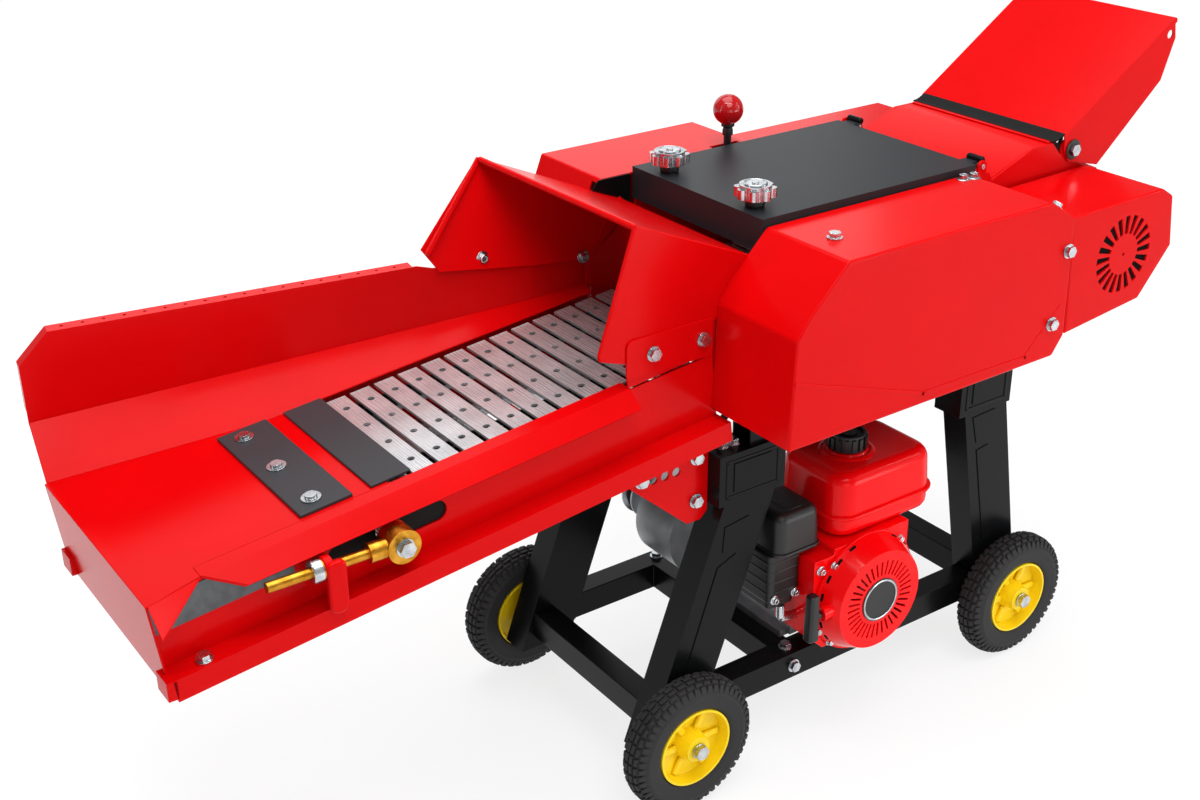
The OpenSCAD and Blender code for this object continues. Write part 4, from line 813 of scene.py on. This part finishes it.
class CUTTER_OT_engine(bpy.types.Operator):
    """Shapes the fuel tank, its cap, the air filter, the recoil starter and the engine's small fittings"""
    bl_idname = "cutter.engine"
    bl_label = "Engine"

    def execute(self, context):
        self.tank()
        self.filter()
        self.starter()
        return {"FINISHED"}

    def tank(self):
        """The tank's two pressed halves with their seam, the filler's collar and the cap's dome."""
        upper = rounded_block(-5, 201, -228, -75, 384, 457, 36, 19, 0, 0.96)
        lower = rounded_block(-4, 200, -227, -76, 352, 394, 35, 0, 16)
        seam = rounded_block(-10, 206, -233, -70, 385, 391, 41, 2.8, 2.8)
        collar = turned([(43, 0), (43, 2.5), (40, 4.6), (36, 5), (33, 3.4), (31, 6.2), (28, 6.4)], 64)
        collar = evened(aim(collar, at(CAP_X, CAP_Y, 455.4), (0, 0, 1)))
        stands_for(joined([upper, lower, seam, collar]), "fuel_tank")
        cap = softened(solid_copy("fuel_cap"), 1.5, 3)
        dome = turned([(14.2, 0), (14.2, 1.2), (12.8, 2.6), (7, 3.2), (2, 3.3)], 40)
        dome = aim(dome, at(CAP_X, CAP_Y, 485), (0, 0, 1))
        stands_for(joined([cap, evened(dome)]), "fuel_cap")

    def filter(self):
        """The air filter's ribbed case, its elbow and the bolts on it and on the shroud."""
        upper = rounded_block(-110, -25, -215, -113, 361, 423, 16, 14, 0, 0.93)
        rim = rounded_block(-112, -24, -218, -112, 355, 361, 17, 2, 2)
        lower = rounded_block(-118, -57, -207, -113, 274, 356, 10, 2, 5)
        foot = rounded_block(-114, -62, -202, -118, 261, 276, 10, 2, 4)
        ribs = [rounded_block(-119, -56, -208, -112, z, z + 4, 11, 1.4, 1.4) for z in (290, 308, 326, 342)]
        spine = rounded_block(-84, -50, -200, -128, 420, 424, 8, 3)
        stands_for(joined([upper, rim, lower, foot, spine, *ribs]), "air_filter")
        elbow = [rod(at(-88, -200, 262), at(-88, -200, 240), 7),
                 rod(at(-88, -200, 240), at(-52, -196, 230), 7)]
        bolts = [aim(hex_bolt(5.2, 5, 7.5), at(x, -207, 282), (0, -1, 0)) for x in (-108, -68)]
        bolts += [aim(hex_bolt(5.6, 5.4, 8), at(x, SHROUD_FACE, z), (0, -1, 0))
                  for x, z in ((-42, 322), (-42, 216), (-16, 192))]
        settled(joined(elbow + bolts), "engine_fittings", "frame", "zinc")

    def starter(self):
        """The shroud's front, the recoil cover with its slots as black blocks of painted shade, its disc and
        bolts, and the pull handle.
        """
        outline = ((-55, 204), (-29, 180), (48, 180), (138, 246), (138, 349.6), (-16, 349.6), (-16, 340),
                   (-55, 340))
        front = plate([at(x, SHROUD_FACE, z) for x, z in outline], 2.4, (0, 1, 0))
        settled(softened(front, 0.8, 2), "shroud_front", "frame", "engine_red")
        # The slots are black blocks sunk in the cover's rim: painted shade standing for the openings.
        slots = []
        for turn in (40, 58, 112, 130, 148, 166, 196, 214, 300, 320, 340, 0):
            way = Vector((math.cos(math.radians(turn)), 0, math.sin(math.radians(turn))))
            slot = softened(plain_box((0, 0, 0), (5, 13, 4)), 1.6, 3)
            slots.append(aim(slot, at(CRANK_X, -242.4, CRANK_Z) + way * 0.0945, way))
        settled(joined(slots), "starter_slot_shade", "frame", "painted_shade")
        cover = softened(solid_copy("recoil_cover"), 1.4, 2)
        stands_for(cover, "recoil_cover")
        disc = turned([(36, 0), (36, 1.6), (34.6, 2.4), (31.6, 2.4), (30.6, 1.4), (6, 1.0), (1, 1.0)], 72)
        disc = evened(aim(disc, at(CRANK_X, RECOIL_FACE, CRANK_Z), (0, -1, 0)))
        settled(disc, "starter_badge", "frame", "plastic")
        ring = turned([(34.4, 0), (34.4, 2.5), (33.6, 3.1), (32.2, 3.1), (31.4, 2.5), (31.4, 0)], 72, True)
        bolts = []
        for turn in (45, 135, 225, 315):
            spot = at(CRANK_X + 96 * math.cos(math.radians(turn)), -238,
                      CRANK_Z + 96 * math.sin(math.radians(turn)))
            bolts.append(aim(hex_bolt(5, 5, 6.5), spot, (0, -1, 0)))
        ring = evened(aim(ring, at(CRANK_X, RECOIL_FACE + 0.1, CRANK_Z), (0, -1, 0)))
        settled(joined([ring, *bolts]), "starter_trim", "frame", "zinc")
        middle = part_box("starter_handle")[0].y * 1000 + 10
        grip = rounded_block(-84, -64, middle - 10, middle + 10, 222, 302, 6, 4, 4, 0.86)
        stem = rod(at(-74, middle, 262), at(-57, middle, 262), 6)
        rope = rod(at(-74, middle, 262), at(75, middle, 262), 2.5, 16)
        stands_for(joined([grip, stem, rope]), "starter_handle")


class CUTTER_OT_rims(bpy.types.Operator):
    """Rolls the edges of the hood and the guide board, and folds a flange on the hood's far plate"""
    bl_idname = "cutter.rims"
    bl_label = "Rolled edges"

    def execute(self, context):
        near, rear, peak = at(-325, -149.5, 898), at(-131, -150.5, 816), at(-337, 214, 900.4)
        corner, foot = at(-383, -150, 730), at(-379, -150, 724.8)
        bars = [rod(near, peak, 4.6), rod(near, corner, 3.2), rod(corner, foot, 3.2), rod(near, rear, 2.6)]
        low, tip = at(-455.5, 166.5, 797), at(-339, 216.2, 899)
        slope = (tip - low).cross(at(-291, 144.6, 748) - low).normalized()
        inward = slope if slope.y < 0 else -slope
        bars.append(bead([low + inward * 0.001, tip + inward * 0.001], 9, 2.2, inward))
        seam = [at(-196, 144.2, 700), at(-196, 144.2, 738), at(-131, 149.6, 815)]
        bars.append(bead(seam, 14, 0.9, (0, -1, 0)))
        settled(joined(bars), "hood_rims", "frame", "red")
        return {"FINISHED"}


class CUTTER_OT_beads(bpy.types.Operator):
    """Presses the beads into the legs, their caps and the gear cover"""
    bl_idname = "cutter.beads"
    bl_label = "Pressed beads"

    def execute(self, context):
        line = [at(x, COVER_FACE, z) for x, z in ((-186, 700), (53, 621), (262, 621), (330, 686))]
        settled(bead(line, 7, 1.1, (0, -1, 0)), "cover_bead", "frame", "red")
        for side in (-1, 1):
            lines = []
            for cap in ((-208, -86), (277, 392)):
                left, right = cap[0] + 14, cap[1] - 14
                box = ((left, 477), (right, 477), (right, 533), (left, 533), (left, 477))
                lines.append(bead([at(x, side * 193, z) for x, z in box], 5, 1.3, (0, side, 0)))
            name = "leg_beads_right" if side < 0 else "leg_beads_left"
            settled(joined(lines), name, "frame", "black")
        return {"FINISHED"}


class CUTTER_OT_trim(bpy.types.Operator):
    """Makes the lid's wing and knuckles, the flap's hinge, the beams' ends and the tensioner's small parts"""
    bl_idname = "cutter.trim"
    bl_label = "Trim"

    def execute(self, context):
        outline = ((-188, 834), (-172, COVER_TOP), (-113, COVER_TOP), (-113, 806), (-138, 812))
        wing = plate([at(x, 150.6, z) for x, z in outline], 2, (0, 1, 0))
        settled(softened(wing, 0.7, 2), "lid_wing", "frame", "black")
        knuckles = [rod(at(326, y, 866), at(326, y + 30, 866), 5.5) for y in (-146, 116)]
        settled(joined(knuckles), "lid_knuckles", "lid", "black")
        self.flap_hinge()
        self.hooks()
        ends = [block(-1018, -1004, y - 17, y + 17, 474.6, 501) for y in (-169, 169)]
        settled(softened(joined(ends), 1, 2), "beam_ends", "frame", "red")
        for side in (-1, 1):
            name = "right" if side < 0 else "left"
            nut = turned([(8, 0), (13.6, 0), (14.8, 1.2), (14.8, 12.8), (13.6, 14), (8, 14)], 40, True)
            nut = aim(nut, at(BRACKET_X - 15, side * TENSION_Y, TENSION_Z), (1, 0, 0))
            settled(evened(nut), "tension_nut_" + name, "frame", "zinc")
            near, far = sorted((side * 147, side * 149.4))
            strips = [block(x0, x1, near, far, z0, z1)
                      for x0, x1, z0, z1 in ((-800, -722, 548, 594), (-691, -612, 560, 608))]
            settled(softened(joined(strips), 0.6, 2), "dust_strips_" + name, "frame", "belt")
        return {"FINISHED"}

    def hooks(self):
        """The tensioner's brackets: an eye round each rod, an arm to the web and a rounded pad in front."""
        pieces = []
        for side in (-1, 1):
            eye = turned([(7.2, 0), (14.4, 0), (16, 1.6), (16, 10.4), (14.4, 12), (7.2, 12)], 48, True)
            pieces.append(evened(aim(eye, at(BRACKET_X, side * TENSION_Y, TENSION_Z), (1, 0, 0))))
            near, far = sorted((side * 153, side * 172))
            pieces.append(softened(block(-811.6, -800.4, near, far, 564, 594), 2.4, 3))
            near, far = sorted((side * 187.5, side * 199.5))
            pad = block(BRACKET_X, BRACKET_X + 26, near, far, 520, 592)
            for width, low, high in ((12, 0, 0.521), (8, 0.591, 1)):
                pick_edges(pad, lambda ends, faces: abs(ends[0].y - ends[1].y) > 0.01 and
                           all(low < p.z < high for p in ends))
                bevel_picked(width, 6)
            pieces.append(softened(pad, 4.2, 4, 50))
        stands_for(joined(pieces), "tension_brackets")

    def flap_hinge(self):
        """A lip on the duct, the rubber strip from it to the flap, side gaskets and the bolts' washers."""
        lip = block(470, 486.4, -145.6, 145.6, 866.2, 868.6)
        settled(softened(lip, 0.8, 2), "duct_lip", "frame", "red")
        line = [at(x, 0, z) for x, z in ((480, 868.6), (485, 869), (492, 871.4), (500.5, 875.4))]
        strip = bead(line, 302, 1.3, (0, 0, 1))
        settled(strip, "flap_hinge", None, "belt")
        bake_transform(strip)
        outline = ((462, 838), (474, 861), (478, 866), (487, 866), (497, 862.4), (499, 866),
                   (505.5, 871.6), (505, 838))
        for side in (-1, 1):
            name = "right" if side < 0 else "left"
            gasket = plate([at(x, side * 145.8, z) for x, z in outline], 3, (0, -side, 0))
            settled(gasket, "flap_gasket_" + name, "frame", "belt")
            washer = turned([(6.4, 0), (15, 0), (16, 0.8), (16, 1.8), (15, 2.4), (6.4, 2.4)], 40, True)
            washer = aim(washer, at(FLAP_PIVOT_X, side * 154.3, FLAP_PIVOT_Z), (0, side, 0))
            settled(evened(washer), "flap_washer_" + name, "frame", "plastic")


class CUTTER_OT_bolts(bpy.types.Operator):
    """Rounds the bolts of the drawing and adds the small ones"""
    bl_idname = "cutter.bolts"
    bl_label = "Bolts"

    def execute(self, context):
        for node in ("fasteners", "axle_pins"):
            stands_for(softened(solid_copy(node), 0.8, 2, 25), node)
        bolt = hex_bolt(7, 6, 10)
        places = [((-368, 165.5, 771), (0, -1, 0)), ((-206, 144.6, 743), (0, -1, 0)),
                  ((314.5, -299, 836.5), (0.543, 0, 0.84)),
                  ((264, -166, COVER_TOP), (0, 0, 1)), ((282, -170, COVER_TOP), (0, 0, 1))]
        copies = [aim(copied(bolt), at(*place), toward) for place, toward in places]
        removed(bolt)
        settled(joined(copies), "small_bolts", "frame", "zinc")
        return {"FINISHED"}


class CUTTER_OT_stage(bpy.types.Operator):
    """Makes the floor, the soft light and the camera"""
    bl_idname = "cutter.stage"
    bl_label = "Stage"

    def execute(self, context):
        sizes = context.scene.cutter_sizes
        pick_none()
        bpy.ops.mesh.primitive_plane_add(size=40)
        floor = context.object
        floor.name = "floor"
        pale = bpy.data.materials.new("pale floor")
        pale.use_nodes = True
        tree = pale.node_tree
        tree.nodes.remove(tree.nodes["Principled BSDF"])
        rays = add(tree, "ShaderNodeLightPath")
        seen = add(tree, "ShaderNodeMath",
                   {0: rays.outputs["Is Camera Ray"], 1: rays.outputs["Is Glossy Ray"]},
                   operation="MAXIMUM")
        matt = add(tree, "ShaderNodeBsdfDiffuse", None, {"Color": linear("#868686")})
        spot = add(tree, "ShaderNodeTexCoord").outputs["Object"]
        reach = add(tree, "ShaderNodeVectorMath", {0: spot}, operation="LENGTH").outputs["Value"]
        lift = add(tree, "ShaderNodeMapRange", {"Value": reach},
                   {"From Min": 0.7, "From Max": 2.8, "To Min": 0.78, "To Max": 0.92}).outputs["Result"]
        glow = add(tree, "ShaderNodeEmission", {"Strength": lift}, {"Color": linear("#FFFFFF")})
        pale_matt = add(tree, "ShaderNodeBsdfDiffuse", None, {"Color": linear("#F4F4F4")})
        lit = add(tree, "ShaderNodeAddShader", {0: matt.outputs[0], 1: glow.outputs[0]})
        mixed = add(tree, "ShaderNodeMixShader",
                    {0: seen.outputs[0], 1: pale_matt.outputs[0], 2: lit.outputs[0]})
        tree.links.new(mixed.outputs[0], tree.nodes["Material Output"].inputs["Surface"])
        floor.data.materials.append(pale)
        self.light(context)
        self.camera(context, sizes)
        context.scene.view_settings.view_transform = "Standard"
        return {"FINISHED"}

    def light(self, context):
        """A pale sky that the camera sees as white, and the lamps: place, target, size and power."""
        world = bpy.data.worlds.new("studio")
        context.scene.world = world
        world.use_nodes = True
        tree = world.node_tree
        soft = tree.nodes["Background"]
        soft.inputs["Color"].default_value = linear("#F4F6F8")
        soft.inputs["Strength"].default_value = 0.3
        plain = add(tree, "ShaderNodeBackground", None, {"Color": linear("#FFFFFF"), "Strength": 1.0})
        rays = add(tree, "ShaderNodeLightPath")
        seen = add(tree, "ShaderNodeMath",
                   {0: rays.outputs["Is Camera Ray"], 1: rays.outputs["Is Transmission Ray"]},
                   operation="MAXIMUM")
        mixed = add(tree, "ShaderNodeMixShader",
                    {0: seen.outputs[0], 1: soft.outputs[0], 2: plain.outputs[0]})
        tree.links.new(mixed.outputs[0], tree.nodes["World Output"].inputs["Surface"])
        for name, place, target, size, power in (
                ("key", (-1.0, -2.1, 3.8), (0, 0, 0.5), (2.2, 2.2), 57),
                ("fill", (2.6, -2.8, 2.2), (0.2, 0, 0.5), (2.4, 2.4), 12),
                ("engine", (1.5, -2.6, 0.5), (0.2, -0.15, 0.35), (1.2, 1.2), 22),
                ("table", (-1.0, -3.0, 0.8), (-0.55, -0.15, 0.5), (1.2, 1.2), 9),
                ("top", (0.2, 0.5, 3.6), (0, 0, 0.6), (2.6, 2.6), 68),
                ("back", (0.9, 2.7, 2.0), (-0.2, 0, 0.65), (3.4, 1.9), 20),
                ("left strip", (-2.7, 0.4, 1.9), (-0.3, 0, 0.6), (0.14, 2.4), 9),
                ("high strip", (-0.6, -0.7, 3.2), (0, 0, 0.6), (2.8, 0.14), 22),
                ("right strip", (2.5, -1.6, 2.1), (0.3, 0, 0.6), (0.14, 2.4), 11)):
            bpy.ops.object.light_add(type="AREA", location=place)
            lamp = context.object
            lamp.name = name
            lamp.data.shape = "RECTANGLE"
            lamp.data.size, lamp.data.size_y = size
            lamp.data.energy = power
            lamp.rotation_euler = (Vector(target) - Vector(place)).to_track_quat("-Z", "Y").to_euler()

    def camera(self, context, sizes):
        """The photograph's camera."""
        yaw, pitch, roll = (math.radians(angle) for angle in CAMERA_TURN)
        ahead = Vector((math.sin(yaw) * math.cos(pitch), math.cos(yaw) * math.cos(pitch), -math.sin(pitch)))
        right = ahead.cross(Vector((0, 0, 1))).normalized()
        up = right.cross(ahead)
        across = right * math.cos(roll) + up * math.sin(roll)
        over = up * math.cos(roll) - right * math.sin(roll)
        turn = Matrix((across, over, -ahead)).transposed().to_euler()
        bpy.ops.object.camera_add(location=CAMERA_PLACE, rotation=turn)
        camera = context.object
        camera.data.sensor_width = 36
        camera.data.lens = sizes.camera_lens
        camera.data.clip_end = 100
        context.scene.camera = camera


class CUTTER_PT_panel(bpy.types.Panel):
    """The machine's sizes, finishes and steps"""
    bl_label = "Chaff cutter"
    bl_idname = "CUTTER_PT_panel"
    bl_space_type = "VIEW_3D"
    bl_region_type = "UI"
    bl_category = "Chaff cutter"

    def draw(self, context):
        for group in (context.scene.cutter_finish, context.scene.cutter_sizes):
            for key in group.__annotations__:
                self.layout.prop(group, key)
        for step in STEPS:
            self.layout.operator(step.bl_idname)


STEPS = (CUTTER_OT_finishes, CUTTER_OT_pressings, CUTTER_OT_edges, CUTTER_OT_wheels, CUTTER_OT_knobs,
         CUTTER_OT_lever, CUTTER_OT_engine, CUTTER_OT_rims, CUTTER_OT_beads, CUTTER_OT_trim, CUTTER_OT_bolts,
         CUTTER_OT_stage)
CLASSES = (CutterFinish, CutterSizes, *STEPS, CUTTER_PT_panel)


def register():
    for cls in CLASSES:
        bpy.utils.register_class(cls)
    bpy.types.Scene.cutter_finish = PointerProperty(type=CutterFinish)
    bpy.types.Scene.cutter_sizes = PointerProperty(type=CutterSizes)


def unregister():
    del bpy.types.Scene.cutter_sizes
    del bpy.types.Scene.cutter_finish
    for cls in reversed(CLASSES):
        bpy.utils.unregister_class(cls)


def main():
    register()
    for step in STEPS:
        area, name = step.bl_idname.split(".")
        getattr(getattr(bpy.ops, area), name)()


if __name__ == "__main__":
    main()
